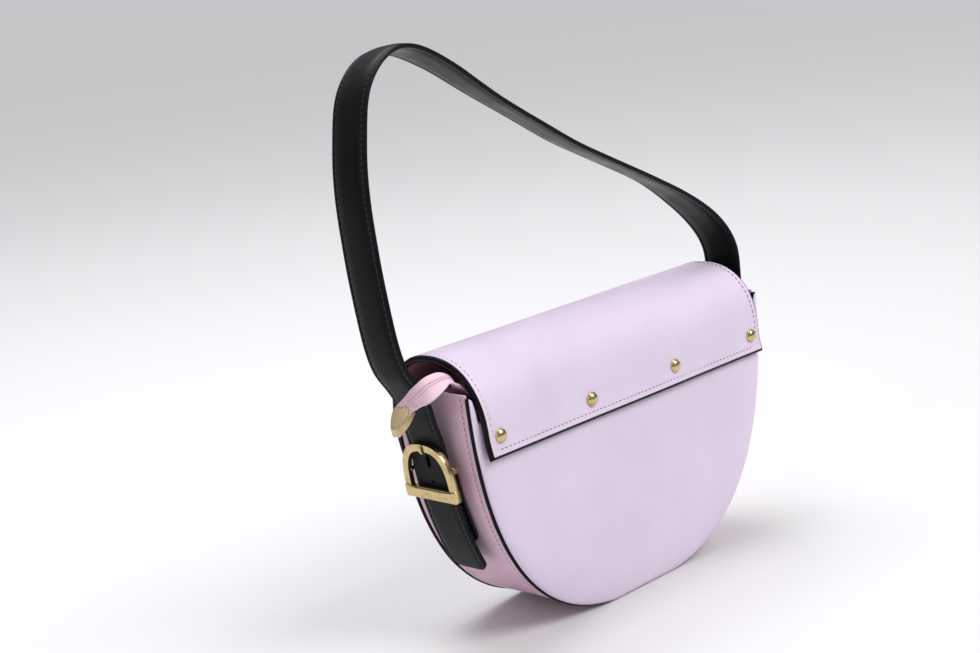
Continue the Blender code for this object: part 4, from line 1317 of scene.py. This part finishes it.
# finishes on the CAD nodes that stay
keptFinishes = {
    "front_padding": foamPad, "back_padding": foamPad, "front_board": boardFibre, "back_board": boardFibre,
    "base_board": boardFibre, "front_lining": liningCloth, "back_lining": liningCloth,
    "gusset_lining": liningCloth, "inner_pocket": liningCloth, "panel_magnet_left": steel,
    "panel_magnet_right": steel, "flap_plate_left": steel, "flap_plate_right": steel,
    "zip_slider": goldMetal, "zip_pull": goldMetal, "zip_stop": goldMetal,
}
for nodeName, finish in keptFinishes.items():
    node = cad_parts[nodeName]
    if node.material_slots:
        for materialSlot in node.material_slots:
            materialSlot.link = "OBJECT"
            materialSlot.material = finish
    else:
        node.data.materials.append(finish)
print("kept nodes finished")


# floor, light and camera
def plainMaterial(name, colour, roughness):
    mat, nodes, links, shader = newMaterial(name)
    shader.inputs["Base Color"].default_value = colour
    shader.inputs["Roughness"].default_value = roughness
    return mat


clearSelection()
bpy.ops.mesh.primitive_plane_add(size=80.0, location=(0.0, 0.0, -0.0003))
floor = bpy.context.active_object
floor.name = "studioFloor"
floor.data.materials.append(plainMaterial("studioPaper", (0.74, 0.73, 0.74, 1.0), 0.75))


def makeWorld():
    # a bright ceiling that falls off towards the horizon
    world = bpy.data.worlds.new("studioWorld")
    world.use_nodes = True
    nodes = world.node_tree.nodes
    links = world.node_tree.links
    coords = nodes.new("ShaderNodeTexCoord")
    split = nodes.new("ShaderNodeSeparateXYZ")
    links.new(coords.outputs["Generated"], split.inputs["Vector"])
    sky = ramp(nodes, links, split.outputs["Z"], (0.30, 0.30, 0.32, 1.0), (0.95, 0.96, 1.0, 1.0), 0.0, 0.75)
    links.new(sky, nodes["Background"].inputs["Color"])
    nodes["Background"].inputs["Strength"].default_value = 0.55
    bpy.context.scene.world = world


makeWorld()
bpy.context.scene.view_settings.view_transform = "Standard"

lights = {
    "keyLight": {"at": (0.45, -1.20, 1.15), "size": 0.7, "power": 3.0, "colour": (1.0, 0.985, 0.97)},
    "topLight": {"at": (0.10, 0.45, 1.60), "size": 1.0, "power": 17.0, "colour": (0.98, 0.985, 1.0)},
    "sideLight": {"at": (-1.40, -0.10, 0.70), "size": 0.6, "power": 1.5, "colour": (1.0, 0.97, 0.96)},
}
for lightName, values in lights.items():
    lamp = bpy.data.lights.new(lightName, "AREA")
    lamp.size = values["size"]
    lamp.energy = values["power"]
    lamp.color = values["colour"]
    lightObject = bpy.data.objects.new(lightName, lamp)
    lightObject.location = values["at"]
    aim = Vector((0.0, 0.0, 0.12)) - Vector(values["at"])  # at the middle of the bag
    lightObject.rotation_euler = aim.to_track_quat("-Z", "Y").to_euler()
    bpy.context.scene.collection.objects.link(lightObject)

skySettings = {"power": 1.45, "spread": 32.0, "colour": (1.0, 0.99, 0.98), "towards": (-0.45, 1.20, -1.30)}
sunLamp = bpy.data.lights.new("skyLight", "SUN")
sunLamp.energy = skySettings["power"]
sunLamp.angle = math.radians(skySettings["spread"])
sunLamp.color = skySettings["colour"]
sun = bpy.data.objects.new("skyLight", sunLamp)
sun.rotation_euler = Vector(skySettings["towards"]).to_track_quat("-Z", "Y").to_euler()
bpy.context.scene.collection.objects.link(sun)

cameraSettings = {"at": (-0.7716, -0.6974, 0.3919), "degrees": (77.094, 6.093, -46.385), "sensor": 36.0,
                  "lens": 69.24}
cameraData = bpy.data.cameras.new("viewCamera")
cameraData.sensor_width = cameraSettings["sensor"]
cameraData.lens = cameraSettings["lens"]
camera = bpy.data.objects.new("viewCamera", cameraData)
camera.location = cameraSettings["at"]
camera.rotation_euler = [math.radians(a) for a in cameraSettings["degrees"]]
bpy.context.scene.collection.objects.link(camera)
bpy.context.scene.camera = camera
print("floor, lights and camera set")
